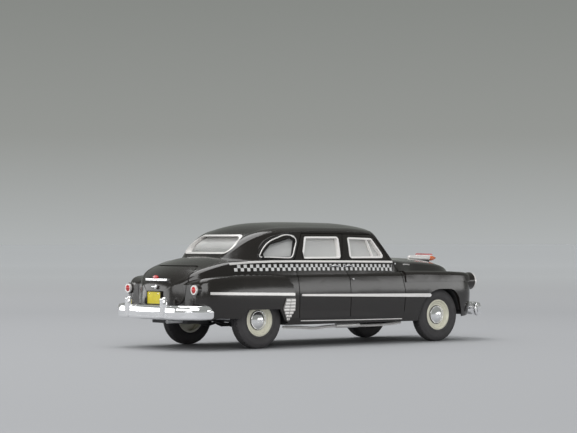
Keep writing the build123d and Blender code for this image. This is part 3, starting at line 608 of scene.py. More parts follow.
def joined(meshes):
    """One bmesh of several."""
    whole = bmesh.new()
    for mesh in meshes:
        data = bpy.data.meshes.new("part")
        mesh.to_mesh(data)
        mesh.free()
        whole.from_mesh(data)
        bpy.data.meshes.remove(data)
    return whole


def tree_of(name):
    """A search tree of a CAD node's surface."""
    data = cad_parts[name].data
    verts = [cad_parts[name].matrix_world @ v.co for v in data.vertices]
    return BVHTree.FromPolygons(verts, [p.vertices[:] for p in data.polygons])


def on_side(skin, x, z, side, out=0.0):
    """The point of the outside at (x, z) millimetres seen from one side, and its normal."""
    start = Vector((x * MM, side * 40 * MM, z * MM))
    point, normal, _, _ = skin.ray_cast(start, Vector((0, -side, 0)))
    if point is None:
        raise RuntimeError(f"no body at {x}, {z}")
    if normal.y * side < 0:
        normal = -normal
    return point + normal * out * MM, normal


STUD = [(0.0, 0.36), (0.35, 0.33), (0.62, 0.22), (0.75, 0.08), (0.75, -0.3), (0.0, -0.3)]


def stud(radius, point, direction):
    """A small domed button of that radius."""
    scale = radius / STUD[3][0]
    profile = [(r * scale, y * scale) for r, y in STUD]
    return turn_to(lathe(profile, 24), direction, point)


class TAXI_OT_frame_finishes(bpy.types.Operator):
    """Gives every CAD node its own finish"""

    bl_idname = "taxi.frame_finishes"
    bl_label = "Frame finishes"

    def execute(self, context):
        for name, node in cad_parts.items():
            keys = [key for key in NODE_FINISH if name.startswith(key)]
            if not keys:
                raise RuntimeError(f"no finish for {name}")
            kind = NODE_FINISH[max(keys, key=len)]
            for place in node.material_slots:
                place.material = material_of(kind)
        return {"FINISHED"}


# Millimetres: the radius of a tyre, and for each axle its place along the car and half its track
TYRE_R = 8.6
AXLES = {"front": (39.5, 17.0), "rear": (-34.9, 17.45)}


class TAXI_OT_tyres(bpy.types.Operator):
    """Makes the four tyres with grooves, shoulder blocks and rings on their walls"""

    bl_idname = "taxi.tyres"
    bl_label = "Tyres"

    def execute(self, context):
        sizes = context.scene.taxi_sizes
        deep = sizes.tread_depth / MM
        # Radius and distance from the tyre's middle, from the bead out to the tread
        half = [
            (4.9, 1.72), (5.25, 1.92), (5.55, 2.02), (5.6, 1.94), (5.75, 1.94),
            (5.8, 2.05), (6.7, 2.09), (7.3, 2.02), (7.36, 1.94), (7.5, 1.92), (7.56, 1.97),
            (8.0, 1.75), (8.3, 1.58), (8.48, 1.36), (8.56, 1.12), (8.58, 0.92),
            (8.58 - deep, 0.88), (8.58 - deep, 0.7), (8.6, 0.66), (8.6, 0.3),
            (8.6 - deep, 0.26), (8.6 - deep, 0.09), (8.6, 0.05),
        ]
        profile = half + [(radius, -y) for radius, y in reversed(half)]
        for end in ENDS:
            axle_x, out = AXLES[end]
            for name, side in SIDES:
                mesh = lathe(profile, sizes.tread_blocks)
                blocks = []
                for face in mesh.faces:
                    middle = face.calc_center_median() / MM
                    angle = math.atan2(middle.z, middle.x) / math.tau * sizes.tread_blocks
                    high = math.hypot(middle.x, middle.z)
                    if 8.36 < high < 8.58 and 1.1 < abs(middle.y) < 1.6 and round(angle - 0.5) % 2:
                        blocks.append(face)
                bmesh.ops.inset_individual(mesh, faces=blocks, thickness=0.04 * MM, depth=-0.16 * MM)
                bmesh.ops.translate(mesh, vec=Vector((axle_x, side * out, TYRE_R)) * MM, verts=mesh.verts)
                node = f"tyre_{end}_{name}"
                piece = keep(mesh, f"{node}_treaded", "tyre", f"{end}_wheels", 28.0)
                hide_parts(node)
        return {"FINISHED"}


class TAXI_OT_wheel_rings(bpy.types.Operator):
    """Makes the rolled edge and boss ring of each hub cap, a dark ring round it that is painted shadow, and
    the bead ring of each wheel
    """

    bl_idname = "taxi.wheel_rings"
    bl_label = "Wheel rings"

    def execute(self, context):
        for end in ENDS:
            axle_x, out = AXLES[end]
            for name, side in SIDES:
                place = Vector((axle_x, side * out, TYRE_R)) * MM
                for part, kind, slot, radius, thick, y in (
                    ("cap_edge", "bright", "chrome", 2.72, 0.13, 1.2),
                    ("cap_boss", "bright", "chrome", 1.05, 0.07, 1.99),
                    # The dark ring round the cap is painted shadow
                    ("cap_shadow_ring", "dark", "tyre", 2.93, 0.1, 0.98),
                    ("bead", "rim", "cream_rim", 3.9, 0.2, 1.1),
                ):
                    ring = [
                        (radius + thick * math.cos(a), y + thick * math.sin(a))
                        for a in [math.tau * k / 10 for k in range(10)]
                    ]
                    mesh = turn_to(lathe(ring, 48), (0, side, 0), place)
                    keep(mesh, f"{part}_{end}_{name}", kind, f"{end}_wheels", 60.0)
        return {"FINISHED"}


# Rear quarter window: the corners of its bright bead as x, z and how far from each the bend begins
QUARTER_CORNERS = (
    (-29.6, 31.9, 3.4),
    (-21.4, 34.6, 2.6),
    (-17.7, 33.0, 2.2),
    (-21.6, 26.65, 1.4),
    (-33.5, 26.85, 1.5),
)
# How far out from the glass its bead and rubber are laid, in millimetres
GLASS_BELOW = 1.13


def rounded(corners, out):
    """Points along an outline whose corners are bent, moved out from its middle, in millimetres."""
    middle = sum((Vector(c[:2]) for c in corners), Vector((0, 0))) / len(corners)
    points = []
    for k, (x, z, bend) in enumerate(corners):
        at = Vector((x, z))
        before = Vector(corners[k - 1][:2])
        after_x, after_z, after_bend = corners[(k + 1) % len(corners)]
        after = Vector((after_x, after_z))
        start = at + (before - at).normalized() * bend
        end = at + (after - at).normalized() * bend
        for t in (0.0, 0.25, 0.5, 0.75, 1.0):
            points.append(start * (1 - t) ** 2 + at * 2 * t * (1 - t) + end * t ** 2)
        points.append(end.lerp(after + (at - after).normalized() * after_bend, 0.5))
    moved = []
    for k, point in enumerate(points):
        along = (points[(k + 1) % len(points)] - points[k - 1]).normalized()
        away = Vector((-along.y, along.x))
        if away.dot(point - middle) < 0:
            away = -away
        moved.append(point + away * out)
    return moved


class TAXI_OT_window_beads(bpy.types.Operator):
    """Lays a bright bead and a black rubber surround round each rear quarter window"""

    bl_idname = "taxi.window_beads"
    bl_label = "Window beads"

    def execute(self, context):
        glass = tree_of("glazing")
        for name, side in SIDES:
            for part, kind, slot, out, wide, lift in (
                ("bead", "silver", "frame_silver", -0.3, 0.42, 0.12),
                ("rubber", "dark", "black_paint", 0.2, 0.62, -0.04),
            ):
                places = rounded(QUARTER_CORNERS, out)
                line = [on_side(glass, at.x, at.y, side, GLASS_BELOW + lift)[0] for at in places]
                keep(tube(line, wide * MM, part, True), f"quarter_{part}_{name}", kind, smooth=60.0)
        return {"FINISHED"}


# The exhaust under the sill: x, z along it, how far from the middle it lies, and its thickness
EXHAUST_LINE = [
    (-24.0, 6.2), (-18.0, 6.0), (-11.0, 5.6), (-7.0, 5.9), (4.0, 5.95), (12.0, 5.85),
    (20.0, 6.1), (24.5, 6.5),
]
EXHAUST_Y = -17.0
EXHAUST_WIRE = 0.9
# A bright wire along the foot of the doors that is a painted highlight: x, z along it, and its thickness
SILL_HIGHLIGHT_WIRE = 0.34
SILL_HIGHLIGHT_LINE = [(-19.6, 8.25), (-10.0, 8.15), (0.0, 8.05), (12.0, 7.95), (22.4, 7.9)]


class TAXI_OT_under_sill(bpy.types.Operator):
    """Makes the bent exhaust pipe with its silencer, and a bright wire along the foot of the doors that is a
    painted highlight
    """

    bl_idname = "taxi.under_sill"
    bl_label = "Exhaust and sill highlight"

    def execute(self, context):
        skin = tree_of("body_shell")
        line = [Vector((x, EXHAUST_Y, z)) * MM for x, z in EXHAUST_LINE]
        can = [(0.0, -5.0), (0.62, -4.8), (0.78, -4.3), (0.78, 4.3), (0.62, 4.8), (0.0, 5.0)]
        silencer = turn_to(lathe(can, 32), (1, 0, 0), Vector((2.0, EXHAUST_Y, 6.1)) * MM)
        mesh = joined([tube(line, EXHAUST_WIRE * MM, "pipe"), silencer])
        piece = keep(mesh, "exhaust_run", "silver")
        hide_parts("exhaust_pipe")
        for name, side in SIDES:
            # A silver wire along the foot of the doors paints their highlight
            edge = [on_side(skin, x, z - 0.15, side, 0.02)[0] for x, z in SILL_HIGHLIGHT_LINE]
            mesh = tube(edge, SILL_HIGHLIGHT_WIRE * MM, "edge")
            keep(mesh, f"sill_highlight_{name}", "silver", smooth=60.0)
        return {"FINISHED"}


# Drip rail over the side windows, from the foot of the rear pillar to the foot of the screen: x, z
DRIP_LINE = [
    (-33.3, 27.6), (-33.0, 29.4), (-31.4, 31.6), (-28.4, 33.4), (-24.4, 34.5),
    (-19.4, 35.25), (-14.4, 35.5), (-7.4, 35.6), (-0.4, 35.55), (5.6, 35.4), (11.4, 35.0),
    (13.6, 34.2), (16.4, 31.2), (18.7, 27.6),
]


PAD_ROWS = 7
# Millimetres left round the pads: above and below all of them, beside each row, and round each pad
PAD_ENDS, PAD_SIDES, PAD_GAP = 0.25, 0.12, 0.09
# How far a pad reaches into the guard, and out of it
PAD_ROOT, PAD_RISE = 0.1, 0.16
# The guard is felt for along a row in these steps; a row that meets it fewer times has no pads
FEEL_STEP = 0.05
FEEL_LEAST = 20


class TAXI_OT_guard_pads(bpy.types.Operator):
    """Raises two columns of small pads on each stone guard"""

    bl_idname = "taxi.guard_pads"
    bl_label = "Guard pads"

    def execute(self, context):
        for name, side in SIDES:
            guard = tree_of(f"stone_guard_{name}")
            low, high = [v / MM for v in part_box(f"stone_guard_{name}")]
            pads = []
            pitch = (high.z - low.z - 2 * PAD_ENDS) / PAD_ROWS
            steps = int((high.x - low.x) / FEEL_STEP) + 1
            for row in range(PAD_ROWS):
                z0 = low.z + PAD_ENDS + row * pitch
                z = z0 + pitch / 2
                met = []
                for x in [low.x + k * FEEL_STEP for k in range(steps)]:
                    if guard.ray_cast(Vector((x, side * 40, z)) * MM, Vector((0, -side, 0)))[0]:
                        met.append(x)
                if len(met) < FEEL_LEAST:
                    continue
                first, last = met[0] + PAD_SIDES, met[-1] - PAD_SIDES
                middle = (first + last) / 2
                for x0, x1 in ((first, middle - PAD_GAP), (middle + PAD_GAP, last)):
                    face = on_side(guard, (x0 + x1) / 2, z, side)[0].y / MM
                    y0, y1 = sorted((face - side * PAD_ROOT, face + side * PAD_RISE))
                    pads.append(block((x0, y0, z0 + PAD_GAP), (x1, y1, z0 + pitch - PAD_GAP), 0.1, 2))
            keep(joined(pads), f"guard_pads_{name}", "silver")
        return {"FINISHED"}


# Steps between two given points of a bumper bar, along its rounded end, along the rest and round its section
BEND_STEPS, CAP_STEPS, BAR_STEPS, ROUND_STEPS = 12, 8, 60, 24
# A section with the power 1 would be an ellipse; less makes it plumper
PLUMP = 0.8
# The square of the smallest share of its section that a bar has at its tip
TIP_LEAST = 0.0004


def swept(points, inset, deep, high, z, cap):
    """A rounded bar bent through (x, y) points of its outer face, from the middle out, in millimetres."""
    sign = 1 if points[0][0] > 0 else -1
    ends = [Vector((x, y)) for x, y in points]
    whole = [Vector((v.x, -v.y)) for v in reversed(ends[1:])] + ends
    whole = [whole[0] * 2 - whole[1]] + whole + [whole[-1] * 2 - whole[-2]]
    fine = []
    for a, b, c, d in zip(whole, whole[1:], whole[2:], whole[3:]):
        for k in range(BEND_STEPS):
            t = k / BEND_STEPS
            square, cube = a * 2 - b * 5 + c * 4 - d, b * 3 - a - c * 3 + d
            fine.append(0.5 * (b * 2 + (c - a) * t + square * t ** 2 + cube * t ** 3))
    fine.append(whole[-2])
    reach = [0.0]
    for a, b in zip(fine, fine[1:]):
        reach.append(reach[-1] + (b - a).length)
    length = reach[-1]
    turned = [cap * (1 - math.cos(math.radians(90 * k / CAP_STEPS))) for k in range(CAP_STEPS + 1)]
    middle = [cap + (length - 2 * cap) * k / BAR_STEPS for k in range(1, BAR_STEPS)]
    mesh = bmesh.new()
    rings = []
    for station in turned + middle + [length - v for v in reversed(turned)]:
        k = max(0, min(len(fine) - 2, sum(1 for v in reach if v <= station) - 1))
        part = (station - reach[k]) / (reach[k + 1] - reach[k])
        at = fine[k].lerp(fine[k + 1], part)
        along = (fine[k + 1] - fine[k]).normalized()
        away = Vector((along.y, -along.x)) * sign
        near = min(station, length - station)
        size = math.sqrt(max(1 - (1 - min(near / cap, 1.0)) ** 2, TIP_LEAST))
        ring = []
        for m in range(ROUND_STEPS):
            turn = math.tau * m / ROUND_STEPS
            c, n = math.cos(turn), math.sin(turn)
            side_way = at - away * inset + away * deep * size * math.copysign(abs(c) ** PLUMP, c)
            up = z + high * size * math.copysign(abs(n) ** PLUMP, n)
            ring.append(mesh.verts.new(Vector((side_way.x, side_way.y, up)) * MM))
        rings.append(ring)
    for one, two in zip(rings, rings[1:]):
        for m in range(ROUND_STEPS):
            after = (m + 1) % ROUND_STEPS
            mesh.faces.new((one[m], one[after], two[after], two[m]))
    mesh.faces.new(rings[0])
    mesh.faces.new(rings[-1])
    bmesh.ops.recalc_face_normals(mesh, faces=mesh.faces[:])
    return mesh


# Outer faces of the bumpers, from the middle out
REAR_BAR = [(-64.2, 0), (-63.3, 12.5), (-62.1, 16.4), (-59.3, 19.8), (-56.9, 21.0), (-53.9, 21.4)]
FRONT_BAR = [(64.2, 0), (63.0, 11.0), (61.3, 15.4), (58.9, 18.8), (57.3, 20.0), (55.3, 20.9)]
# An overrider: radius and height from its foot, and how far in from the bar's face it stands
OVERRIDER = [
    (0, 6.2), (0.6, 6.08), (1.02, 5.7), (1.26, 5.0), (1.3, 3.8), (1.22, 1.6), (1.0, 0.2),
    (0.6, -0.1), (0, -0.2),
]
OVERRIDER_IN = 1.2


class TAXI_OT_bumper_bars(bpy.types.Operator):
    """Lays the plump bright bars over both bumpers, and makes their overriders"""

    bl_idname = "taxi.bumper_bars"
    bl_label = "Bumper bars"

    def execute(self, context):
        for end, line, z, high, y, foot in (
            ("rear", REAR_BAR, 11.25, 2.15, 9.0, 9.7),
            ("front", FRONT_BAR, 10.1, 2.2, 6.5, 8.3),
        ):
            keep(swept(line, 0.95, 1.0, high, z, 1.9), f"bumper_bar_{end}", "bright", smooth=60.0)
            x = line[0][0] + (OVERRIDER_IN if end == "rear" else -OVERRIDER_IN)
            places = [Vector((x, side * y, foot)) * MM for _, side in SIDES]
            shapes = [turn_to(lathe(OVERRIDER, 32), (0, 0, 1), place) for place in places]
            keep(joined(shapes), f"overriders_{end}", "bright", smooth=60.0)
        return {"FINISHED"}


# Where each door handle begins and ends along the car, then the height and thickness of the bar and of the
# dark pad behind it, a painted shadow
HANDLES = ((-7.6, -3.9), (-1.7, 1.6))
HANDLE_Z = 24.75
HANDLE_SHADOW_Z = 24.72
HANDLE_WIRE = 0.42
HANDLE_SHADOW_WIRE = 1.05


class TAXI_OT_door_handles(bpy.types.Operator):
    """Makes each door handle as a bent bright bar over a dark pad that is its painted shadow"""

    bl_idname = "taxi.door_handles"
    bl_label = "Door handles"

    def execute(self, context):
        skin = tree_of("body_shell")
        for name, side in SIDES:
            bars, pads = [], []
            for x0, x1 in HANDLES:
                bow = ((x0 + 0.3, 0.0), (x0 + 0.7, 0.6), (x1 - 0.7, 0.6), (x1 - 0.3, 0.0))
                line = [on_side(skin, x, HANDLE_Z, side, out)[0] for x, out in bow]
                bars.append(tube(line, HANDLE_WIRE * MM, "bow"))
                for x in (x0 + 0.3, x1 - 0.3):
                    place, way = on_side(skin, x, HANDLE_Z, side)
                    bars.append(stud(0.36, place, way))
                # A dark pad behind each handle is its painted shadow
                spots = (x0 - 0.1, (x0 + x1) / 2, x1 + 0.1)
                line = [on_side(skin, x, HANDLE_SHADOW_Z, side, -0.36)[0] for x in spots]
                pads.append(tube(line, HANDLE_SHADOW_WIRE * MM, "pad"))
            piece = keep(joined(bars), f"handle_bars_{name}", "bright")
            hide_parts(f"door_handles_{name}")
            keep(joined(pads), f"handle_shadow_pads_{name}", "dark")
        return {"FINISHED"}


class TAXI_OT_drip_rails(bpy.types.Operator):
    """Lays a thin painted drip rail along the roof over the windows of each side"""

    bl_idname = "taxi.drip_rails"
    bl_label = "Drip rails"

    def execute(self, context):
        skin = tree_of("body_shell")
        wire = context.scene.taxi_sizes.drip_wire
        for name, side in SIDES:
            points = [on_side(skin, x, z, side, 0.05)[0] for x, z in DRIP_LINE]
            mesh = tube(points, wire, "drip")
            keep(mesh, f"drip_rail_{name}", "body", smooth=60.0)
        return {"FINISHED"}


# Places on the flank as x, z: the door lock, the small lamp, and the line of the bonnet bar
LOCK_AT = (1.3, 20.7)
LAMP_AT = (20.7, 25.3)
BONNET_BAR = ((25.8, 25.0), (27.1, 24.95), (28.4, 24.9), (29.7, 24.8))


class TAXI_OT_side_buttons(bpy.types.Operator):
    """Sets the door lock, the small lamp ahead of the band and the bonnet bar on each side"""

    bl_idname = "taxi.side_buttons"
    bl_label = "Side buttons and bars"

    def execute(self, context):
        skin = tree_of("body_shell")
        for name, side in SIDES:
            lock, way = on_side(skin, *LOCK_AT, side)
            keep(stud(0.3, lock, way), f"door_lock_{name}", "bright")
            lamp, way = on_side(skin, *LAMP_AT, side)
            keep(stud(0.34, lamp, way), f"side_lamp_{name}", "bright")
            line = [on_side(skin, x, z, side, 0.08)[0] for x, z in BONNET_BAR]
            keep(tube(line, 0.42 * MM, "bar"), f"bonnet_bar_{name}", "silver", smooth=60.0)
        return {"FINISHED"}


class TAXI_OT_ornament(bpy.types.Operator):
    """Makes the bonnet ornament: silver body and blade, dark foot, red fin and orange tip"""

    bl_idname = "taxi.ornament"
    bl_label = "Bonnet ornament"

    def execute(self, context):
        shaft = [(0.0, 0.0), (0.5, 0.15), (0.72, 0.6), (0.78, 2.0)]
        shaft += [(0.76, 7.4), (0.66, 9.6), (0.5, 10.3), (0.0, 10.4)]
        mesh = turn_to(lathe(shaft, 32), Vector((1, 0, -0.02)).normalized(), Vector((43.6, 0, 26.95)) * MM)
        piece = keep(mesh, "ornament_body", "silver", smooth=50.0)
        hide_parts("bonnet_ornament")
        foot = [(44.6, 25.0), (52.4, 23.9), (53.4, 26.6), (44.4, 26.9)]
        keep(slab(foot, -0.3, 0.3, 0.1), "ornament_foot", "dark")
        blade = [(46.8, 27.2), (47.3, 28.05), (54.3, 27.9), (54.8, 27.0)]
        keep(slab(blade, -0.14, 0.14), "ornament_blade", "silver")
        edge = [(47.0, 27.95), (47.4, 28.35), (54.2, 28.22), (54.9, 27.75)]
        keep(slab(edge, -0.22, 0.22, 0.06), "ornament_fin", "red")
        tip = [(0.0, 2.3), (0.22, 2.1), (0.5, 1.4), (0.78, 0.5), (0.84, -0.3), (0.6, -1.3), (0.0, -1.4)]
        mesh = turn_to(lathe(tip, 32), Vector((1, 0, 0.02)).normalized(), Vector((54.0, 0, 26.7)) * MM)
        keep(mesh, "ornament_tip", "orange", smooth=50.0)
        return {"FINISHED"}


# How far the plate's surround reaches out from the plate and over it, in millimetres
RIM_OUT = 0.25
RIM_OVER = 0.05


class TAXI_OT_rear_fittings(bpy.types.Operator):
    """Makes the plate's surround, bolts and lamp, the boot badge, the tail pipe and the bracket"""

    bl_idname = "taxi.rear_fittings"
    bl_label = "Rear fittings"

    def execute(self, context):
        low, high = [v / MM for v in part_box("number_plate")]
        right, left = low.y - RIM_OUT, high.y + RIM_OUT
        under, over = low.z - RIM_OUT, high.z + RIM_OUT
        rims = []
        for y0, y1, z0, z1 in (
            (right, left, under, low.z + RIM_OVER),
            (right, left, high.z - RIM_OVER, over),
            (right, low.y + RIM_OVER, under, over),
            (high.y - RIM_OVER, left, under, over),
        ):
            rims.append(block((low.x - 0.16, y0, z0), (low.x + 0.25, y1, z1), 0.06, 2))
        keep(joined(rims), "plate_surround", "dark")
        places = [Vector((low.x, y, high.z - 0.6)) * MM for y in (low.y + 1.3, high.y - 1.3)]
        bolts = [stud(0.2, place, (-1, 0, 0)) for place in places]
        keep(joined(bolts), "plate_bolts", "bright")
        lamp_low, lamp_high = [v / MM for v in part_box("plate_lamp")]
        place = Vector((lamp_low.x + 0.3, 0, (lamp_low.z + lamp_high.z) / 2)) * MM
        case = [(0.0, 1.3), (0.3, 1.22), (0.44, 0.9), (0.44, -0.9), (0.3, -1.22), (0.0, -1.3)]
        case = turn_to(lathe(case, 24), (0, 1, 0), place)
        glass = stud(0.66, place + Vector((-0.1, -0.75, -0.05)) * MM, (-1, 0, 0))
        piece = keep(joined([case, glass]), "plate_lamp_case", "bright", smooth=50.0)
        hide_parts("plate_lamp")
        handle_low, handle_high = [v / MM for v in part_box("boot_handle")]
        top = handle_high.z
        badge = ((-1.0, 0.05), (1.0, 0.05), (1.15, 0.75), (0.0, 1.15), (-1.15, 0.75))
        mesh = slab([(x, top + z) for x, z in badge], 0, 0.7, 0.1)
        quarter = Matrix.Rotation(math.radians(-90), 3, "Z")
        bmesh.ops.rotate(mesh, cent=(0, 0, 0), matrix=quarter, verts=mesh.verts)
        bmesh.ops.translate(mesh, vec=Vector((handle_low.x - 0.1, 0.5, -0.1)) * MM, verts=mesh.verts)
        keep(mesh, "boot_badge", "red")
        pipe = [(0.34, 0.1), (0.42, 0.14), (0.5, 0.05), (0.5, -15.0), (0.0, -15.0), (0.0, -1.5), (0.34, -1.5)]
        mesh = turn_to(lathe(pipe, 32), Vector((-1, 0, -0.02)).normalized(), Vector((-60.0, -6.2, 8.35)) * MM)
        keep(mesh, "tail_pipe", "pipe")
        bracket = joined([
            block((-59.3, -5.9, 8.75), (-54.0, -1.6, 9.5), 0.2),
            block((-55.6, -5.2, 9.2), (-54.2, -2.4, 10.2), 0.15),
        ])
        keep(bracket, "tow_bracket", "dark")
        return {"FINISHED"}


# The right pane of the screen lies through these points; the left is its mirror
SCREEN_FOOT = Vector((19.8, 18.5, 26.4))
SCREEN_HEAD = Vector((15.6, 15.3, 33.6))
SCREEN_NOSE = Vector((27.3, 0, 27.2))


def on_screen(y, z, out):
    """The point at (y, z) on the outside of the screen, and out millimetres ahead of it."""
    normal = (SCREEN_HEAD - SCREEN_FOOT).cross(SCREEN_NOSE - SCREEN_FOOT).normalized()
    if normal.x < 0:
        normal = -normal
    flat = Vector((0, abs(y), z)) - SCREEN_FOOT
    x = SCREEN_FOOT.x - (normal.y * flat.y + normal.z * flat.z) / normal.x
    point = Vector((x, abs(y), z)) + normal * out
    return Vector((point.x, point.y * (1 if y > 0 else -1), point.z)) * MM


# Foot of a wiper on the screen as y, z, and the thickness of its blade
WIPER_FOOT = (4.2, 27.4)
BLADE_WIRE = 0.34


class TAXI_OT_wipers(bpy.types.Operator):
    """Makes the two wipers with their spindles, arms, blades and rubbers"""

    bl_idname = "taxi.wipers"
    bl_label = "Wipers"

    def execute(self, context):
        wire = context.scene.taxi_sizes.wiper_wire
        for name, side in SIDES:
            foot_y, foot_z = side * WIPER_FOOT[0], WIPER_FOOT[1]
            foot = on_screen(foot_y, foot_z, 0.3)
            knee = on_screen(side * 6.6, 27.75, 0.5)
            tip = on_screen(side * 8.8, 27.95, 0.4)
            arm = tube([foot, knee, tip], wire, "arm")
            way = Vector((1, side * 0.35, 0.6)).normalized()
            hub = stud(0.45, on_screen(foot_y, foot_z, 0.05), way)
            keep(joined([arm, hub]), f"wiper_arm_{name}", "bright", smooth=60.0)
            line = [on_screen(side * y, z, 0.3) for y, z in ((5.6, 28.1), (8.8, 27.95), (12.4, 27.6))]
            blade = tube(line, BLADE_WIRE * MM, "blade")
            keep(blade, f"wiper_blade_{name}", "dark", smooth=60.0)
        return {"FINISHED"}


class TAXI_OT_cabin(bpy.types.Operator):
    """Adds the mirror, the fare meter and the instruments that show through the windows"""

    bl_idname = "taxi.cabin"
    bl_label = "Cabin fittings"

    def execute(self, context):
        line = [Vector(at) * MM for at in ((16.6, 0, 34.6), (16.3, 0, 33.8), (16.0, 0, 33.2))]
        stem = tube(line, 0.35 * MM, "stem")
        glass = block((15.6, -2.6, 32.2), (16.2, 2.6, 33.6), 0.25)
        keep(joined([stem, glass]), "cabin_mirror", "bright")
        low, high = [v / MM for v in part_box("dashboard")]
        meter = block((high.x - 2.4, -9.6, high.z - 0.3), (high.x - 0.4, -5.8, high.z + 2.8), 0.35)
        keep(meter, "fare_meter", "red")
        dial = [(0.0, 0.12), (1.1, 0.12), (1.25, 0.3), (1.45, 0.3), (1.5, -0.1), (0.0, -0.1)]
        dials = []
        for y in (6.2, 9.2):
            place = Vector((low.x + 0.35, y, high.z - 2.2)) * MM
            dials.append(turn_to(lathe(dial, 32), (-1, 0, 0.15), place))
        keep(joined(dials), "instruments", "wheel")
        return {"FINISHED"}


# The camera, matched to the photograph: place in metres, turns in degrees, lens and sensor in millimetres
CAMERA_AT = (-0.42552, -0.50867, 0.03272)
CAMERA_YAW = 39.388
CAMERA_PITCH = 0.6575
LENS = 129.46
SENSOR = 36.0
# Half the width of the floor, in metres
FLOOR_HALF = 12.0
# Paler away from the lamps, so that the floor looks even: distance from the car in metres, and colour
FLOOR_REACH = 3.0
FLOOR_SHADES = (
    (0.0, "#ABACAE"),
    (0.3, "#A9AAAC"),
    (0.7, "#BEBFC0"),
    (1.2, "#DADCDC"),
    (2.0, "#E8EAEA"),
    (3.0, "#E8EAEA"),
)
# Greys of the backdrop from the horizon up, and how far up the last two are reached
HORIZON_GREY = "#AEB1B1"
BACK_GREY = "#959794"
TOP_GREY = "#7C7F7B"
BACK_HEIGHT = 0.05
TOP_HEIGHT = 0.16
# The even light from all round that matt surfaces get, and its strength
FILL_WHITE = "#F2F4F6"
FILL_STRENGTH = 0.62


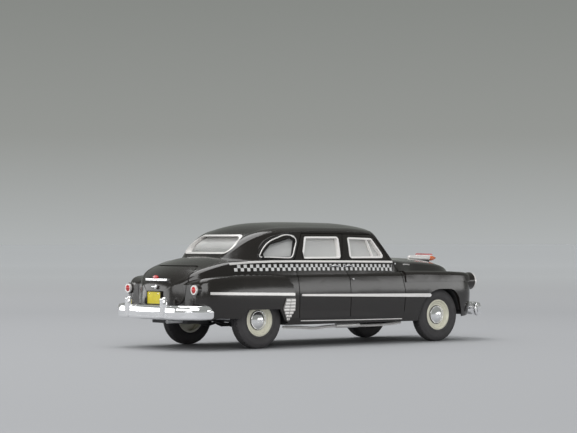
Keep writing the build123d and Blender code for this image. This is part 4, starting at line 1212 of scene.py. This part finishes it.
class TAXI_OT_studio(bpy.types.Operator):
    """Sets up the floor, the backdrop, the soft lamps and the camera"""

    bl_idname = "taxi.studio"
    bl_label = "Studio"

    def execute(self, context):
        scene = context.scene
        mesh = bmesh.new()
        bmesh.ops.create_grid(mesh, x_segments=24, y_segments=24, size=FLOOR_HALF)
        data = bpy.data.meshes.new("studio_floor")
        mesh.to_mesh(data)
        mesh.free()
        floor = bpy.data.objects.new("studio_floor", data)
        scene.collection.objects.link(floor)
        # Matt studio paper, almost without a gloss
        inputs = {"Roughness": 0.75, "Specular IOR Level": 0.15}
        material, tree, shader, place = finish("matt studio paper", inputs)
        away = add(tree, "VectorMath", {0: place}, operation="LENGTH").outputs["Value"]
        far = add(tree, "MapRange", {"Value": away, "From Max": FLOOR_REACH}).outputs["Result"]
        ramp = add(tree, "ValToRGB", {0: far})
        stops = ramp.color_ramp.elements
        stops[0].color = linear(FLOOR_SHADES[0][1])
        stops[1].position = 1.0
        stops[1].color = linear(FLOOR_SHADES[-1][1])
        for reach, code in FLOOR_SHADES[1:-1]:
            stops.new(reach / FLOOR_REACH).color = linear(code)
        tree.links.new(ramp.outputs[0], shader.inputs["Base Color"])
        data.materials.append(material)

        world = bpy.data.worlds.new("studio_world")
        scene.world = world
        world.use_nodes = True
        tree = world.node_tree
        tree.nodes.clear()
        way = add(tree, "TexCoord").outputs["Generated"]
        up = add(tree, "SeparateXYZ", {0: way}).outputs[2]
        ramp = add(tree, "ValToRGB", {0: up})
        ramp.color_ramp.elements[0].position = 0.0
        ramp.color_ramp.elements[0].color = linear(HORIZON_GREY)
        ramp.color_ramp.elements[1].position = TOP_HEIGHT
        ramp.color_ramp.elements[1].color = linear(TOP_GREY)
        middle = ramp.color_ramp.elements.new(BACK_HEIGHT)
        middle.color = linear(BACK_GREY)
        seen = add(tree, "Background", {"Color": ramp.outputs[0], "Strength": 1.0})
        fill = add(tree, "Background", {"Color": linear(FILL_WHITE), "Strength": FILL_STRENGTH})
        path = add(tree, "LightPath")
        # The backdrop is seen straight on, in reflections and through the glazing; the rest gets the fill
        rays = [path.outputs[f"Is {kind} Ray"] for kind in ("Camera", "Glossy", "Transmission")]
        direct = add(tree, "Math", {0: rays[0], 1: rays[1]}, operation="ADD")
        direct = add(tree, "Math", {0: direct.outputs[0], 1: rays[2]}, operation="ADD")
        direct.use_clamp = True
        mix = add(tree, "MixShader", {0: direct.outputs[0], 1: fill.outputs[0], 2: seen.outputs[0]})
        add(tree, "OutputWorld", {"Surface": mix.outputs[0]})

        # Where each lamp stands and aims, its size, its power, and whether it lights or is only reflected
        for name, at, aim, size, power, lights in (
            ("overhead", (-0.1, 0.15, 0.85), (0, 0, 0.02), (0.9, 0.6), 5.0, True),
            ("camera_side", (-0.75, -0.75, 0.5), (0, 0, 0.02), (0.7, 0.5), 3.0, True),
            ("rear_strip", (-0.62, 0.78, 0.16), (0, 0, 0.02), (0.9, 0.4), 2.2, False),
            ("tail_strip", (-1.0, -0.1, 0.3), (0, 0, 0.02), (0.9, 0.3), 1.8, False),
            ("flank_strip", (0.66, -0.78, 0.115), (0, 0, 0.02), (0.9, 0.17), 1.1, False),
        ):
            lamp = bpy.data.lights.new(name, "AREA")
            lamp.shape = "RECTANGLE"
            lamp.size, lamp.size_y = size
            lamp.energy = power
            holder = bpy.data.objects.new(name, lamp)
            holder.location = at
            holder.visible_camera = False
            holder.visible_diffuse = lights
            holder.rotation_mode = "QUATERNION"
            holder.rotation_quaternion = (Vector(aim) - Vector(at)).to_track_quat("-Z", "Y")
            scene.collection.objects.link(holder)

        lens = bpy.data.cameras.new("photo_camera")
        lens.sensor_fit = "HORIZONTAL"
        lens.sensor_width = SENSOR
        lens.lens = LENS
        lens.clip_start = 0.01
        lens.clip_end = 50.0
        camera = bpy.data.objects.new("photo_camera", lens)
        camera.location = CAMERA_AT
        camera.rotation_euler = (math.radians(90 + CAMERA_PITCH), 0, math.radians(-CAMERA_YAW))
        scene.collection.objects.link(camera)
        scene.camera = camera
        scene.view_settings.view_transform = "Standard"
        return {"FINISHED"}


OPERATORS = (
    TAXI_OT_studio,
    TAXI_OT_frame_finishes,
    TAXI_OT_tyres,
    TAXI_OT_wheel_rings,
    TAXI_OT_window_beads,
    TAXI_OT_guard_pads,
    TAXI_OT_bumper_bars,
    TAXI_OT_door_handles,
    TAXI_OT_drip_rails,
    TAXI_OT_under_sill,
    TAXI_OT_side_buttons,
    TAXI_OT_ornament,
    TAXI_OT_rear_fittings,
    TAXI_OT_wipers,
    TAXI_OT_cabin,
)


class TAXI_PT_panel(bpy.types.Panel):
    """Lists the sizes, the colours and the pieces of the taxi"""

    bl_idname = "TAXI_PT_panel"
    bl_label = "Taxi"
    bl_space_type = "VIEW_3D"
    bl_region_type = "UI"
    bl_category = "Taxi"

    def draw(self, context):
        layout = self.layout
        for group in (context.scene.taxi_sizes, context.scene.taxi_colours):
            column = layout.column()
            for name in group.__annotations__:
                column.prop(group, name)
        column = layout.column()
        for operator in OPERATORS:
            column.operator(operator.bl_idname)


CLASSES = (TaxiSizes, TaxiColours) + OPERATORS + (TAXI_PT_panel,)


def register():
    for each in CLASSES:
        bpy.utils.register_class(each)
    bpy.types.Scene.taxi_sizes = PointerProperty(type=TaxiSizes)
    bpy.types.Scene.taxi_colours = PointerProperty(type=TaxiColours)


def unregister():
    del bpy.types.Scene.taxi_colours
    del bpy.types.Scene.taxi_sizes
    for each in reversed(CLASSES):
        bpy.utils.unregister_class(each)


def main():
    register()
    for operator in OPERATORS:
        group, name = operator.bl_idname.split(".")
        getattr(getattr(bpy.ops, group), name)()


if __name__ == "__main__":
    main()
